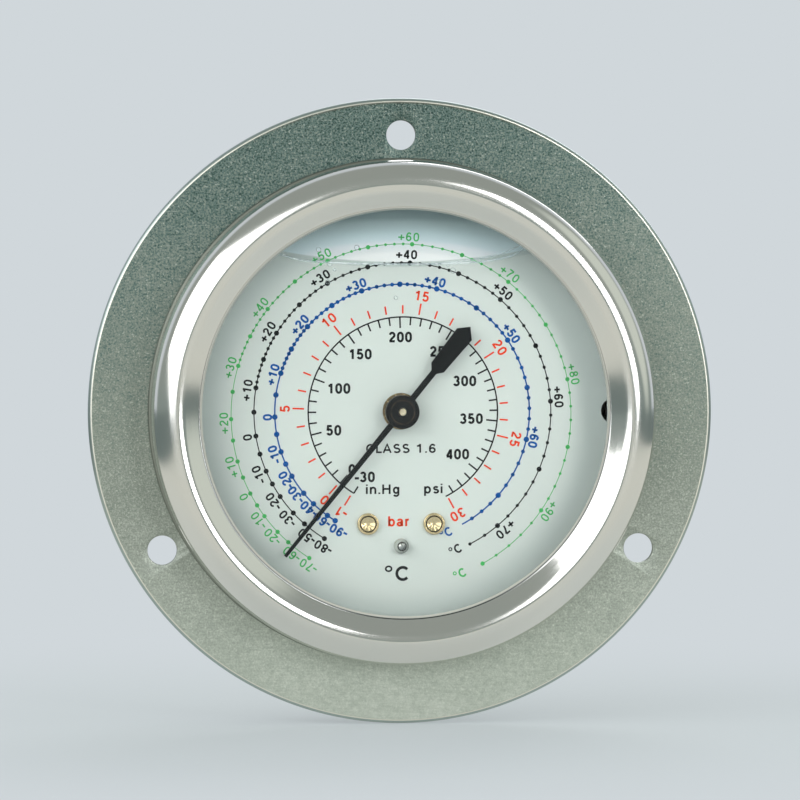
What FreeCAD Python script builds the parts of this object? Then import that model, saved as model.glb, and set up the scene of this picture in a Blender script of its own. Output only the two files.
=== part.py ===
# Pressure gauge with a front flange: flanged steel case, crimped bezel, dial and pointer,
# and behind the dial a C tube, a link, a toothed sector, a pinion and a hairspring.
# Millimetres. Y is the gauge axis, the dial faces -Y, Z is up and X is to the right.
# The origin is the centre of the flange's back face. Clock angles run clockwise from 12 o'clock.
import FreeCAD, Part
import math
import os

Vector = FreeCAD.Vector

# Clearances
press_clearance = 0.01
running_clearance = 0.05
layer_gap = 0.2
link_slack = 0.3
slip_clearance = 0.1

# Flange
flange_margin = 8.4
flange_thickness = 1.0
flange_edge_round = 0.85
bolt_circle_margin = 3.4
bolt_hole_diameter = 4.0
bolt_count = 3
collar_length = 4.0
collar_wall = 0.7
collar_bend_radius = 0.5

# Case
case_diameter = 62.0
case_wall = 0.6
case_depth = 22.0
case_corner_radius = 2.7
case_rim_width = 2.2
case_rim_bend = 0.6

# Bezel
bezel_rim_clearance = 0.25
bezel_sheet = 0.65
bezel_ridge_inset = 3.1
bezel_ridge_bend = 0.6
bezel_shoulder_radius = 2.4
bezel_shoulder_drop = 0.2
bezel_crimp_width = 2.4
bezel_crimp_bend = 0.6
bezel_cone_angle = 31.6
bezel_cone_width = 2.55
bezel_lip_width = 0.75
bezel_lip_bend = 0.5

# Window and gasket
window_thickness = 3.0
window_chamfer = 0.2
gasket_thickness = 2.3
gasket_seat_width = 3.0
gasket_lip_width = 0.55
gasket_bezel_clearance = 0.29
gasket_lip_height = 2.2

# Dial
dial_recess = 4.15
dial_case_gap = 1.2
dial_thickness = 0.6
dial_notch_radius = 1.75
dial_notch_inset = 0.1
rivet_offset_x = 4.5
rivet_offset_z = -15.3
rivet_head_radius = 1.4
rivet_head_height = 0.65
rivet_rim_width = 0.3
rivet_groove_width = 0.15
rivet_groove_depth = 0.35
rivet_dish_depth = 0.28
rivet_shank_radius = 0.85
rivet_grip = 1.0
dial_post_radius = 1.5
dial_post_length = 3.0

# Stop pin
stop_pin_tail_gap = 2.48
stop_pin_base_radius = 1.02
stop_pin_top_radius = 0.58
stop_pin_height = 2.0
stop_pin_base_height = 0.8
stop_pin_shank_radius = 0.7
stop_pin_head_radius = 1.2
stop_pin_head_height = 0.4

# Pointer
pointer_clock = 219.0
pointer_dial_margin = 4.0
pointer_tip_width = 0.46
pointer_root_width = 0.82
pointer_thickness = 0.4
pointer_height = 1.4
tail_length = 14.8
tail_shoulder = 6.9
tail_blade_start = 7.7
tail_blade_end = 13.5
tail_blade_width = 2.16
tail_blade_end_width = 2.56
hub_radius = 2.29
hub_height = 1.3
hub_boss_radius = 1.3
hub_boss_length = 0.9
hub_groove_radius = 1.6
hub_groove_width = 0.14
hub_groove_depth = 0.1
hub_edge_round = 0.15

# Pinion and sector
gear_module = 0.3
pinion_teeth = 12
sector_full_teeth = 84
sector_cut_teeth = 13
sector_first_tooth = -1
pressure_angle = 25.0
gear_backlash = 0.06
addendum_factor = 0.9
dedendum_factor = 1.2
pinion_face_width = 2.0
sector_thickness = 1.0
sector_clock = 150.0
sector_hub_radius = 2.0
sector_rim_width = 1.6
sector_arm_width = 1.5
sector_edge_margin = 0.6

# Movement
plate_thickness = 1.0
plate_spacing = 6.0
plate_corner_radius = 2.4
plate_edge_margin = 2.2
pillar_radius = 1.4
pillar_offset_x = 5.5
pillar_offset_z = 5.0
screw_shank_radius = 0.8
screw_grip = 1.8
screw_head_radius = 1.3
screw_head_height = 0.8
screw_slot_width = 0.35
screw_slot_depth = 0.35
mount_screw_offset_x = 3.6
mount_screw_offset_z = -10.5
mount_screw_grip = 4.0
bearing_radius = 2.42
bearing_spigot_radius = 1.5
bearing_dial_clearance = 0.08
arbor_journal_radius = 0.6
arbor_taper_radius = 0.47
arbor_rear_pivot_radius = 0.4
arbor_tip_stand_out = 0.05
sector_arbor_radius = 1.0
sector_pivot_radius = 0.5
pinion_setback = 2.1
sector_setback = 2.6

# Hairspring
hairspring_turns = 4
hairspring_collet_gap = 0.14
hairspring_outer_radius = 5.4
hairspring_strip = 0.12
hairspring_height = 0.8
hairspring_setback = 0.7
hairspring_stud_radius = 0.7
hairspring_stud_length = 1.9
hairspring_end_clock = 270.0
collet_radius = 1.5
collet_length = 1.2

# Link
tail_arm_length = 5.0
tail_arm_clock = 141.0
tail_arm_width = 2.8
link_length = 9.0
link_clock = 30.0
link_width = 2.6
link_thickness = 0.6
link_pin_radius = 0.5
link_pin_head_radius = 0.95
link_pin_head_height = 0.3

# Bourdon tube
tube_mean_radius = 22.0
tube_height = 8.0
tube_width = 3.0
tube_wall = 0.5
tube_setback = 4.3
tube_root_clock = 181.0
tube_tip_clock = 472.0
tip_wall = 0.9
tip_span_clock = 8.0
tip_lap_clock = 4.0
tongue_width = 3.2
tongue_thickness = 1.0
braze_gap = 0.05

# Socket
socket_disc_wall = 0.4
socket_arm_half_width = 5.5
socket_head_room = 3.0
lug_left = 3.0
lug_right = 4.5
lug_wall = 1.5
lug_front_cover = 0.6
wrench_flats = 12.0
wrench_round_diameter = 14.0
wrench_length = 8.0
stem_neck_length = 0.6
thread_diameter = 11.11
thread_length = 10.0
thread_relief_radius = 4.7
thread_relief_length = 1.2
flare_length = 2.4
flare_nose_radius = 3.2
port_radius = 2.25
port_front_wall = 1.0
passage_radius = 0.9
passage_inset = 1.4
seal_stem_margin = 1.4
seal_section_radius = 0.65
case_screw_margin = 1.0
case_screw_radius = 1.5
case_screw_grip = 6.0
case_screw_head_radius = 2.6
case_screw_head_height = 1.6
throttle_length = 4.0
throttle_bore_radius = 0.3
throttle_inset = 6.0

# Filler plug
plug_head_radius = 6.5
plug_head_height = 2.4
plug_head_round = 1.0
plug_neck_radius = 4.7
plug_lip_radius = 5.6
plug_lip_height = 1.6
plug_setback = 12.0

# Levels along the axis, from the flange to the glass
flange_front = -flange_thickness
crimp_front = flange_front - bezel_sheet
rim_front = crimp_front - case_wall
window_back = rim_front - gasket_thickness
window_front = window_back - window_thickness

# Levels along the axis, from the dial to the back
dial_front = window_back + dial_recess
dial_back = dial_front + dial_thickness
pointer_back = dial_front - pointer_height
pointer_front = pointer_back - pointer_thickness
hub_front = pointer_front - hub_height
hub_back = pointer_back + hub_boss_length
front_plate_front = dial_back + dial_post_length
front_plate_back = front_plate_front + plate_thickness
back_plate_front = front_plate_back + plate_spacing
back_plate_back = back_plate_front + plate_thickness
pinion_front = front_plate_back + pinion_setback
sector_front = front_plate_back + sector_setback
sector_back = sector_front + sector_thickness
link_front = sector_back + layer_gap
link_back = link_front + link_thickness
tongue_front = link_back + layer_gap
tongue_back = tongue_front + tongue_thickness
tube_front = dial_back + dial_post_length + tube_setback
tube_back = tube_front + tube_height
case_inner_back = case_depth - case_wall

# Radii, from the case outwards
case_radius = case_diameter / 2
rim_radius = case_radius + case_rim_width
bezel_inner_radius = rim_radius + bezel_rim_clearance
bezel_radius = bezel_inner_radius + bezel_sheet
ridge_radius = bezel_radius - bezel_ridge_inset
lip_end_radius = ridge_radius - bezel_cone_width
lip_radius = lip_end_radius - bezel_lip_width
gasket_outer_radius = bezel_inner_radius - gasket_bezel_clearance
window_radius = gasket_outer_radius - gasket_lip_width - press_clearance
bolt_circle_radius = bezel_radius + bolt_circle_margin
flange_radius = bezel_radius + flange_margin

# Radii inside the case
case_inner_radius = case_radius - case_wall
dial_radius = case_inner_radius - dial_case_gap
pointer_length = dial_radius - pointer_dial_margin
stop_pin_circle_radius = tail_length + stop_pin_tail_gap + stop_pin_base_radius
hairspring_inner_radius = collet_radius + hairspring_collet_gap + hairspring_strip / 2
tube_inner_side = tube_mean_radius - tube_width / 2
tube_outer_side = tube_mean_radius + tube_width / 2
stem_radius = wrench_round_diameter / 2
seal_mean_radius = stem_radius + seal_stem_margin
seal_groove_half = seal_section_radius + running_clearance
socket_disc_radius = seal_mean_radius + seal_groove_half + socket_disc_wall
case_screw_circle_radius = socket_disc_radius + case_screw_margin + case_screw_radius


# Helpers for points
def on_circle(radius, clock, x=0.0, z=0.0):
    angle = math.radians(clock)
    return (x + radius * math.sin(angle), z + radius * math.cos(angle))


def unit(start, end):
    length = math.dist(start, end)
    return ((end[0] - start[0]) / length, (end[1] - start[1]) / length)


def corner_arc(before, corner, after, radius):
    # Start, middle and end of the arc that rounds one corner of an outline.
    to_before = unit(corner, before)
    to_after = unit(corner, after)
    cosine = to_before[0] * to_after[0] + to_before[1] * to_after[1]
    half = math.acos(max(-1.0, min(1.0, cosine))) / 2
    reach = radius / math.tan(half)
    bisector = unit((0, 0), (to_before[0] + to_after[0], to_before[1] + to_after[1]))
    to_middle = radius / math.sin(half) - radius
    start = (corner[0] + to_before[0] * reach, corner[1] + to_before[1] * reach)
    middle = (corner[0] + bisector[0] * to_middle, corner[1] + bisector[1] * to_middle)
    end = (corner[0] + to_after[0] * reach, corner[1] + to_after[1] * reach)
    return start, middle, end


def outline(points, radii, to_3d):
    # A closed outline with rounded corners. A radius of 0 leaves the corner sharp.
    count = len(points)
    stops = []
    for index in range(count):
        before = points[index - 1]
        after = points[(index + 1) % count]
        if radii[index] > 0:
            stops.append(corner_arc(before, points[index], after, radii[index]))
        else:
            stops.append((points[index],))
    edges = []
    for index in range(count):
        stop = [to_3d(point) for point in stops[index]]
        if len(stop) == 3:
            edges.append(Part.Arc(stop[0], stop[1], stop[2]).toShape())
        following = to_3d(stops[(index + 1) % count][0])
        if stop[-1].distanceToPoint(following) > 1e-6:
            edges.append(Part.LineSegment(stop[-1], following).toShape())
    return Part.Wire(edges)


def in_section(point):
    # (radius, y) in the half plane that is turned about the axis
    return Vector(point[0], point[1], 0)


def turned(points, radii=None):
    if radii is None:
        radii = [0] * len(points)
    face = Part.Face(outline(points, radii, in_section))
    return face.revolve(Vector(0, 0, 0), Vector(0, 1, 0), 360)


def sheet_outline(points, radii, thickness):
    # The outline of bent sheet: both sides of a centre line, with the bends' own radii.
    half = thickness / 2
    count = len(points)
    sides = {1: [], -1: []}
    bends = {1: [], -1: []}
    for side in (1, -1):
        for index in range(count):
            ahead = unit(points[index], points[index + 1]) if index < count - 1 else None
            behind = unit(points[index - 1], points[index]) if index > 0 else None
            first = behind or ahead
            second = ahead or behind
            turn = first[0] * second[1] - first[1] * second[0]
            normal = unit((0, 0), (-first[1] - second[1], first[0] + second[0]))
            stretch = half / (-first[1] * normal[0] + first[0] * normal[1])
            sides[side].append((points[index][0] + side * stretch * normal[0],
                                points[index][1] + side * stretch * normal[1]))
            bends[side].append(radii[index] - math.copysign(half, turn * side) if radii[index] else 0)
    return sides[1] + sides[-1][::-1], bends[1] + bends[-1][::-1]


def bent_sheet(points, radii, thickness):
    return turned(*sheet_outline(points, radii, thickness))


def bar(place, radius, front, back):
    # A round bar along the axis' direction.
    return Part.makeCylinder(radius, back - front, Vector(place[0], front, place[1]), Vector(0, 1, 0))


def tube(place, outer, inner, front, back):
    return bar(place, outer, front, back).cut(bar(place, inner, front, back))


def plate(points, radii, front, back):
    wire = outline(points, radii, lambda point: Vector(point[0], front, point[1]))
    return Part.Face(wire).extrude(Vector(0, back - front, 0))


def block(left, right, front, back, bottom, top):
    return Part.makeBox(right - left, back - front, top - bottom, Vector(left, front, bottom))


def strap(start, end, width, front, back):
    # A flat strip with round ends.
    along = unit(start, end)
    side = (-along[1] * width / 2, along[0] * width / 2)
    corners = [(start[0] + side[0], start[1] + side[1]), (end[0] + side[0], end[1] + side[1]),
               (end[0] - side[0], end[1] - side[1]), (start[0] - side[0], start[1] - side[1])]
    body = plate(corners, [0] * 4, front, back)
    ends = [bar(start, width / 2, front, back), bar(end, width / 2, front, back)]
    return body.fuse(ends).removeSplitter()


def about(shape, place, clock):
    # Turn a shape clockwise, as seen from the front, about an axis along Y.
    turned_shape = shape.copy()
    turned_shape.rotate(Vector(place[0], 0, place[1]), Vector(0, 1, 0), clock)
    return turned_shape


def slotted_screw(place, head_back, direction, head_radius, head_height, shank_radius, grip):
    # direction is 1 for a screw that goes in towards +Y, -1 towards -Y.
    def level(distance):
        return head_back + direction * distance

    def piece(radius, start, end):
        return bar(place, radius, min(level(start), level(end)), max(level(start), level(end)))

    head = piece(head_radius, -head_height, 0)
    slot_levels = sorted((level(-head_height), level(-head_height + screw_slot_depth)))
    slot = block(place[0] - head_radius, place[0] + head_radius, slot_levels[0], slot_levels[1],
                 place[1] - screw_slot_width / 2, place[1] + screw_slot_width / 2)
    return head.cut(slot).fuse(piece(shank_radius, 0, grip)).removeSplitter()


# Places
pinion_place = (0.0, 0.0)
centre_distance = gear_module * (pinion_teeth + sector_full_teeth) / 2
sector_place = on_circle(centre_distance, sector_clock)
tail_place = on_circle(tail_arm_length, tail_arm_clock, *sector_place)
link_place = on_circle(link_length, link_clock, *tail_place)
rivet_places = [(-rivet_offset_x, rivet_offset_z), (rivet_offset_x, rivet_offset_z)]
top_pillar_places = [(-pillar_offset_x, pillar_offset_z), (pillar_offset_x, pillar_offset_z)]
mount_screw_places = [(-mount_screw_offset_x, mount_screw_offset_z),
                      (mount_screw_offset_x, mount_screw_offset_z)]
case_screw_places = [on_circle(case_screw_circle_radius, 0), on_circle(case_screw_circle_radius, 180)]
stop_pin_place = on_circle(stop_pin_circle_radius, 180)
bolt_places = [on_circle(bolt_circle_radius, step * 360 / bolt_count) for step in range(bolt_count)]


def mounting_flange():
    bore = case_radius + running_clearance
    points = [(bore, flange_front), (flange_radius, flange_front), (flange_radius, 0),
              (bore + collar_wall, 0), (bore + collar_wall, collar_length), (bore, collar_length)]
    radii = [0, flange_edge_round, 0, collar_bend_radius, 0, 0]
    body = turned(points, radii)
    for place in bolt_places:
        body = body.cut(bar(place, bolt_hole_diameter / 2, flange_front, 0))
    return body


def bezel_ring():
    half = bezel_sheet / 2
    wall = bezel_radius - half
    crimp_level = flange_front - half
    lip_level = window_front - half
    ridge_level = lip_level - bezel_cone_width * math.tan(math.radians(bezel_cone_angle))
    points = [(bezel_radius - bezel_crimp_width, crimp_level), (wall, crimp_level),
              (wall, ridge_level + bezel_shoulder_drop), (ridge_radius, ridge_level),
              (lip_end_radius, lip_level), (lip_radius, lip_level)]
    radii = [0, bezel_crimp_bend, bezel_shoulder_radius, bezel_ridge_bend, bezel_lip_bend, 0]
    return bent_sheet(points, radii, bezel_sheet)


def window():
    edge = window_radius - window_chamfer
    points = [(0, window_front), (edge, window_front), (window_radius, window_front + window_chamfer),
              (window_radius, window_back - window_chamfer), (edge, window_back), (0, window_back)]
    return turned(points)


def window_gasket():
    outer = gasket_outer_radius
    inner = window_radius - gasket_seat_width
    lip_inner = window_radius + press_clearance
    points = [(inner, rim_front), (outer, rim_front), (outer, window_back - gasket_lip_height),
              (lip_inner, window_back - gasket_lip_height), (lip_inner, window_back),
              (inner, window_back)]
    return turned(points)


def case_shell():
    half = case_wall / 2
    wall = case_radius - half
    rim_level = crimp_front - half
    back_level = case_depth - half
    hole = stem_radius + slip_clearance
    points = [(rim_radius, rim_level), (wall, rim_level), (wall, back_level), (hole, back_level)]
    shell = bent_sheet(points, [0, case_rim_bend, case_corner_radius, 0], case_wall)
    for place in case_screw_places:
        shell = shell.cut(bar(place, case_screw_radius + slip_clearance, case_inner_back, case_depth))
    fill_hole = Part.makeCylinder(plug_neck_radius + press_clearance, rim_radius,
                                  Vector(0, plug_setback, 0), Vector(0, 0, 1))
    return shell.cut(fill_hole)


def filler_plug():
    inside = bar((0, 0), case_inner_radius - press_clearance, 0, case_depth)
    outside = bar((0, 0), case_radius + press_clearance, 0, case_depth)

    def disc(radius, bottom, top):
        return Part.makeCylinder(radius, top - bottom, Vector(0, plug_setback, bottom), Vector(0, 0, 1))

    lip_bottom = case_inner_radius - plug_lip_height
    head_top = case_radius + plug_head_height
    head = disc(plug_head_radius, lip_bottom, head_top)
    rim_edges = [edge for edge in head.Edges if edge.BoundBox.ZMin > head_top - 1e-6]
    head = head.makeFillet(plug_head_round, rim_edges).cut(outside)
    neck = disc(plug_neck_radius, lip_bottom, head_top - plug_head_round)
    lip = disc(plug_lip_radius, lip_bottom, case_radius).common(inside)
    return head.fuse([neck, lip]).removeSplitter()


def dial():
    body = bar((0, 0), dial_radius, dial_front, dial_back)
    body = body.cut(bar((0, 0), bearing_radius + bearing_dial_clearance, dial_front, dial_back))
    for place in rivet_places:
        body = body.cut(bar(place, rivet_shank_radius + press_clearance, dial_front, dial_back))
    body = body.cut(bar(stop_pin_place, stop_pin_shank_radius + press_clearance, dial_front, dial_back))
    notch_place = on_circle(dial_radius - dial_notch_inset, 90)
    return body.cut(bar(notch_place, dial_notch_radius, dial_front, dial_back))


def dial_rivet(place):
    top = dial_front - rivet_head_height
    rim_inner = rivet_head_radius - rivet_rim_width
    dish = rim_inner - rivet_groove_width
    points = [(0, top + rivet_dish_depth), (dish, top), (dish, top + rivet_groove_depth),
              (rim_inner, top + rivet_groove_depth), (rim_inner, top),
              (rivet_head_radius, top), (rivet_head_radius, dial_front),
              (rivet_shank_radius, dial_front), (rivet_shank_radius, dial_back + rivet_grip),
              (0, dial_back + rivet_grip)]
    radii = [0] * len(points)
    radii[5] = rivet_rim_width / 2
    rivet = turned(points, radii)
    rivet.translate(Vector(place[0], 0, place[1]))
    return rivet


def dial_rivets():
    return Part.makeCompound([dial_rivet(place) for place in rivet_places])


def dial_post(place):
    post = bar(place, dial_post_radius, dial_back, front_plate_front)
    post = post.cut(bar(place, rivet_shank_radius + press_clearance, dial_back, dial_back + rivet_grip))
    stud = bar(place, screw_shank_radius, front_plate_front, front_plate_back + screw_grip)
    return post.fuse(stud).removeSplitter()


def dial_posts():
    return Part.makeCompound([dial_post(place) for place in rivet_places])


def stop_pin():
    top = dial_front - stop_pin_height
    points = [(0, top), (stop_pin_top_radius, top), (stop_pin_base_radius, dial_front - stop_pin_base_height),
              (stop_pin_base_radius, dial_front), (stop_pin_shank_radius, dial_front),
              (stop_pin_shank_radius, dial_back), (stop_pin_head_radius, dial_back),
              (stop_pin_head_radius, dial_back + stop_pin_head_height), (0, dial_back + stop_pin_head_height)]
    pin = turned(points)
    pin.translate(Vector(stop_pin_place[0], 0, stop_pin_place[1]))
    return pin


def pointer():
    # Drawn with the slim end up, then turned to its rest place.
    tip = pointer_tip_width / 2
    root = pointer_root_width / 2
    blade = tail_blade_width / 2
    end = tail_blade_end_width / 2
    right_side = [(tip, pointer_length), (root, hub_boss_radius), (root, -tail_shoulder),
                  (blade, -tail_blade_start), (end, -tail_blade_end)]
    left_side = [(-x, z) for x, z in reversed(right_side)]
    points = right_side + [(0, -tail_length)] + left_side
    body = plate(points, [0] * len(points), pointer_front, pointer_back)
    body = body.fuse(bar((0, 0), hub_boss_radius + root, pointer_front, pointer_back)).removeSplitter()
    body = body.cut(bar((0, 0), hub_boss_radius + press_clearance, pointer_front, pointer_back))
    return about(body, (0, 0), pointer_clock)


def pointer_hub():
    bore = arbor_journal_radius + press_clearance
    groove_inner = hub_groove_radius - hub_groove_width / 2
    groove_outer = hub_groove_radius + hub_groove_width / 2
    points = [(bore, hub_front), (groove_inner, hub_front), (groove_inner, hub_front + hub_groove_depth),
              (groove_outer, hub_front + hub_groove_depth), (groove_outer, hub_front),
              (hub_radius, hub_front), (hub_radius, pointer_front), (hub_boss_radius, pointer_front),
              (hub_boss_radius, hub_back), (bore, hub_back)]
    radii = [0] * len(points)
    radii[5] = hub_edge_round
    return turned(points, radii)


def involute_point(base_radius, radius, clock_at_base, direction):
    # A point of an involute at the given radius, as a clock angle and radius.
    roll = math.sqrt(max((radius / base_radius) ** 2 - 1, 0))
    spread = math.degrees(roll - math.atan(roll))
    return on_circle(radius, clock_at_base + direction * spread)


def tooth_edges(teeth, clock, level, tip_radius, root_radius):
    # One tooth: flank, tip arc and flank, at a clock angle on its own gear.
    pitch_radius = gear_module * teeth / 2
    base_radius = pitch_radius * math.cos(math.radians(pressure_angle))
    roll = math.tan(math.radians(pressure_angle))
    pitch_spread = math.degrees(roll - math.radians(pressure_angle))
    half_tooth = 90 / teeth - math.degrees(gear_backlash / 2 / pitch_radius) + pitch_spread
    low = max(base_radius, root_radius)
    radii = [low + (tip_radius - low) * step / 3 for step in range(4)]

    def to_3d(point):
        return Vector(point[0], level, point[1])

    rising = [to_3d(involute_point(base_radius, radius, clock - half_tooth, 1)) for radius in radii]
    falling = [to_3d(involute_point(base_radius, radius, clock + half_tooth, -1))
               for radius in reversed(radii)]
    if low > root_radius:
        rising.insert(0, to_3d(on_circle(root_radius, clock - half_tooth)))
        falling.append(to_3d(on_circle(root_radius, clock + half_tooth)))
    edges = []
    flank = Part.BSplineCurve()
    flank.interpolate(rising[-4:])
    if low > root_radius:
        edges.append(Part.LineSegment(rising[0], rising[1]).toShape())
    edges.append(flank.toShape())
    crown = to_3d(on_circle(tip_radius, clock))
    edges.append(Part.Arc(rising[-1], crown, falling[0]).toShape())
    flank = Part.BSplineCurve()
    flank.interpolate(falling[:4])
    edges.append(flank.toShape())
    if low > root_radius:
        edges.append(Part.LineSegment(falling[-2], falling[-1]).toShape())
    return edges, rising[0], falling[-1]


def toothed_edges(teeth, clocks, level):
    # A row of teeth with the root arcs between them. Returns the edges and the two end points.
    pitch_radius = gear_module * teeth / 2
    tip_radius = pitch_radius + addendum_factor * gear_module
    root_radius = pitch_radius - dedendum_factor * gear_module
    edges = []
    first = None
    last = None
    last_clock = None
    for clock in clocks:
        tooth, start, end = tooth_edges(teeth, clock, level, tip_radius, root_radius)
        if last is None:
            first = start
        else:
            middle = on_circle(root_radius, (last_clock + clock) / 2)
            edges.append(Part.Arc(last, Vector(middle[0], level, middle[1]), start).toShape())
        edges.extend(tooth)
        last = end
        last_clock = clock
    return edges, first, last, root_radius


def pinion_gear():
    # A tooth space faces the sector, so the teeth start half a pitch to its side.
    pitch = 360 / pinion_teeth
    clocks = [sector_clock + pitch / 2 + pitch * index for index in range(pinion_teeth)]
    edges, first, last, root_radius = toothed_edges(pinion_teeth, clocks, pinion_front)
    middle = on_circle(root_radius, clocks[-1] + pitch / 2)
    edges.append(Part.Arc(last, Vector(middle[0], pinion_front, middle[1]), first).toShape())
    return Part.Face(Part.Wire(edges)).extrude(Vector(0, pinion_face_width, 0))


def pinion_arbor():
    tip = hub_front - arbor_tip_stand_out
    shoulder = back_plate_front - running_clearance
    points = [(0, tip), (arbor_taper_radius, tip), (arbor_journal_radius, hub_front + hub_height),
              (arbor_journal_radius, shoulder), (arbor_rear_pivot_radius, shoulder),
              (arbor_rear_pivot_radius, back_plate_back), (0, back_plate_back)]
    return turned(points).fuse(pinion_gear()).removeSplitter()


def sector_gear():
    pitch = 360 / sector_full_teeth
    facing = sector_clock + 180
    clocks = [facing + pitch * (sector_first_tooth + index) for index in range(sector_cut_teeth)]
    edges, first, last, root_radius = toothed_edges(sector_full_teeth, clocks, sector_front)
    margin = pitch / 2 + math.degrees(sector_edge_margin / root_radius)
    start_clock = clocks[0] - margin
    end_clock = clocks[-1] + margin
    inner_radius = root_radius - sector_rim_width

    def spot(radius, clock):
        point = on_circle(radius, clock)
        return Vector(point[0], sector_front, point[1])

    def arc(radius, start, end):
        return Part.Arc(spot(radius, start), spot(radius, (start + end) / 2), spot(radius, end)).toShape()

    def root_arc(start, middle_clock, end):
        return Part.Arc(start, spot(root_radius, middle_clock), end).toShape()

    edges.insert(0, root_arc(spot(root_radius, start_clock), start_clock + pitch / 4, first))
    edges.append(root_arc(last, end_clock - pitch / 4, spot(root_radius, end_clock)))
    edges.append(Part.LineSegment(spot(root_radius, end_clock), spot(inner_radius, end_clock)).toShape())
    edges.append(arc(inner_radius, end_clock, start_clock))
    edges.append(Part.LineSegment(spot(inner_radius, start_clock), spot(root_radius, start_clock)).toShape())
    rim = Part.Face(Part.Wire(edges)).extrude(Vector(0, sector_thickness, 0))
    inset = math.degrees(sector_arm_width / 2 / root_radius)
    pieces = []
    for clock in (start_clock + inset, end_clock - inset):
        reach = on_circle(inner_radius + sector_rim_width / 2, clock)
        pieces.append(strap((0, 0), reach, sector_arm_width, sector_front, sector_back))
    pieces.append(bar((0, 0), sector_hub_radius, sector_front, sector_back))
    tail_end = on_circle(tail_arm_length, tail_arm_clock)
    pieces.append(strap((0, 0), tail_end, tail_arm_width, sector_front, sector_back))
    body = rim.fuse(pieces).removeSplitter()
    body = body.cut(bar((0, 0), sector_arbor_radius + press_clearance, sector_front, sector_back))
    body = body.cut(bar(tail_end, link_pin_radius + press_clearance, sector_front, sector_back))
    body.translate(Vector(sector_place[0], 0, sector_place[1]))
    return body


def sector_arbor():
    front = front_plate_back + running_clearance
    back = back_plate_front - running_clearance
    points = [(0, front_plate_front), (sector_pivot_radius, front_plate_front), (sector_pivot_radius, front),
              (sector_arbor_radius, front), (sector_arbor_radius, back), (sector_pivot_radius, back),
              (sector_pivot_radius, back_plate_back), (0, back_plate_back)]
    arbor = turned(points)
    arbor.translate(Vector(sector_place[0], 0, sector_place[1]))
    return arbor


def movement_plate(front, back):
    top = pillar_offset_z + plate_edge_margin
    side = pillar_offset_x + plate_edge_margin
    right = max(sector_place[0], rivet_offset_x) + plate_edge_margin
    left = -rivet_offset_x - plate_edge_margin
    bottom = rivet_offset_z - plate_edge_margin
    bend = sector_place[1] + plate_edge_margin
    points = [(-side, top), (side, top), (right, bend), (right, bottom), (left, bottom), (-side, bend)]
    return plate(points, [plate_corner_radius] * len(points), front, back)


def movement_front_plate():
    front = front_plate_front
    back = front_plate_back
    body = movement_plate(front, back)
    body = body.cut(bar(pinion_place, bearing_spigot_radius + press_clearance, front, back))
    body = body.cut(bar(sector_place, sector_pivot_radius + running_clearance, front, back))
    for place in rivet_places + top_pillar_places:
        body = body.cut(bar(place, screw_shank_radius + slip_clearance, front, back))
    return body


def movement_back_plate():
    front = back_plate_front
    back = back_plate_back
    body = movement_plate(front, back)
    body = body.cut(bar(pinion_place, arbor_rear_pivot_radius + running_clearance, front, back))
    body = body.cut(bar(sector_place, sector_pivot_radius + running_clearance, front, back))
    for place in rivet_places + top_pillar_places:
        body = body.cut(bar(place, screw_shank_radius + press_clearance, front, back))
    for place in mount_screw_places:
        body = body.cut(bar(place, screw_shank_radius + slip_clearance, front, back))
    return body


def movement_pillar(place):
    body = bar(place, pillar_radius, front_plate_back, back_plate_front)
    hole = screw_shank_radius + press_clearance
    body = body.cut(bar(place, hole, front_plate_back, front_plate_back + screw_grip))
    spigot = bar(place, screw_shank_radius, back_plate_front, back_plate_back)
    return body.fuse(spigot).removeSplitter()


def movement_pillars():
    return Part.makeCompound([movement_pillar(place) for place in rivet_places + top_pillar_places])


def movement_screws():
    grip = plate_thickness + screw_grip
    return Part.makeCompound([
        slotted_screw(place, front_plate_front, 1, screw_head_radius, screw_head_height,
                      screw_shank_radius, grip) for place in top_pillar_places])


def mount_screws():
    grip = plate_thickness + mount_screw_grip
    return Part.makeCompound([
        slotted_screw(place, back_plate_front, 1, screw_head_radius, screw_head_height,
                      screw_shank_radius, grip) for place in mount_screw_places])


def front_bearing():
    bore = arbor_journal_radius + running_clearance
    points = [(bore, dial_front), (bearing_radius, dial_front), (bearing_radius, front_plate_front),
              (bearing_spigot_radius, front_plate_front), (bearing_spigot_radius, front_plate_back),
              (bore, front_plate_back)]
    return turned(points)


def hairspring():
    # A flat spiral strip, wound clockwise outwards to its stud.
    front = front_plate_back + hairspring_setback
    steps = 12 * hairspring_turns

    def side(shift):
        points = []
        for step in range(steps + 1):
            share = step / steps
            radius = hairspring_inner_radius + (hairspring_outer_radius - hairspring_inner_radius) * share
            clock = hairspring_end_clock - 360 * hairspring_turns * (1 - share)
            point = on_circle(radius + shift, clock)
            points.append(Vector(point[0], front, point[1]))
        curve = Part.BSplineCurve()
        curve.interpolate(points)
        return curve.toShape(), points[0], points[-1]

    inner, inner_start, inner_end = side(-hairspring_strip / 2)
    outer, outer_start, outer_end = side(hairspring_strip / 2)
    start = Part.LineSegment(outer_start, inner_start).toShape()
    end = Part.LineSegment(inner_end, outer_end).toShape()
    face = Part.Face(Part.Wire([inner, end, outer, start]))
    return face.extrude(Vector(0, hairspring_height, 0))


def hairspring_collet():
    front = front_plate_back + hairspring_setback - (collet_length - hairspring_height) / 2
    bore = arbor_journal_radius + press_clearance
    return tube(pinion_place, collet_radius, bore, front, front + collet_length)


def hairspring_stud():
    reach = hairspring_outer_radius + hairspring_strip / 2 + press_clearance + hairspring_stud_radius
    place = on_circle(reach, hairspring_end_clock)
    return bar(place, hairspring_stud_radius, front_plate_back, front_plate_back + hairspring_stud_length)


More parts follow.
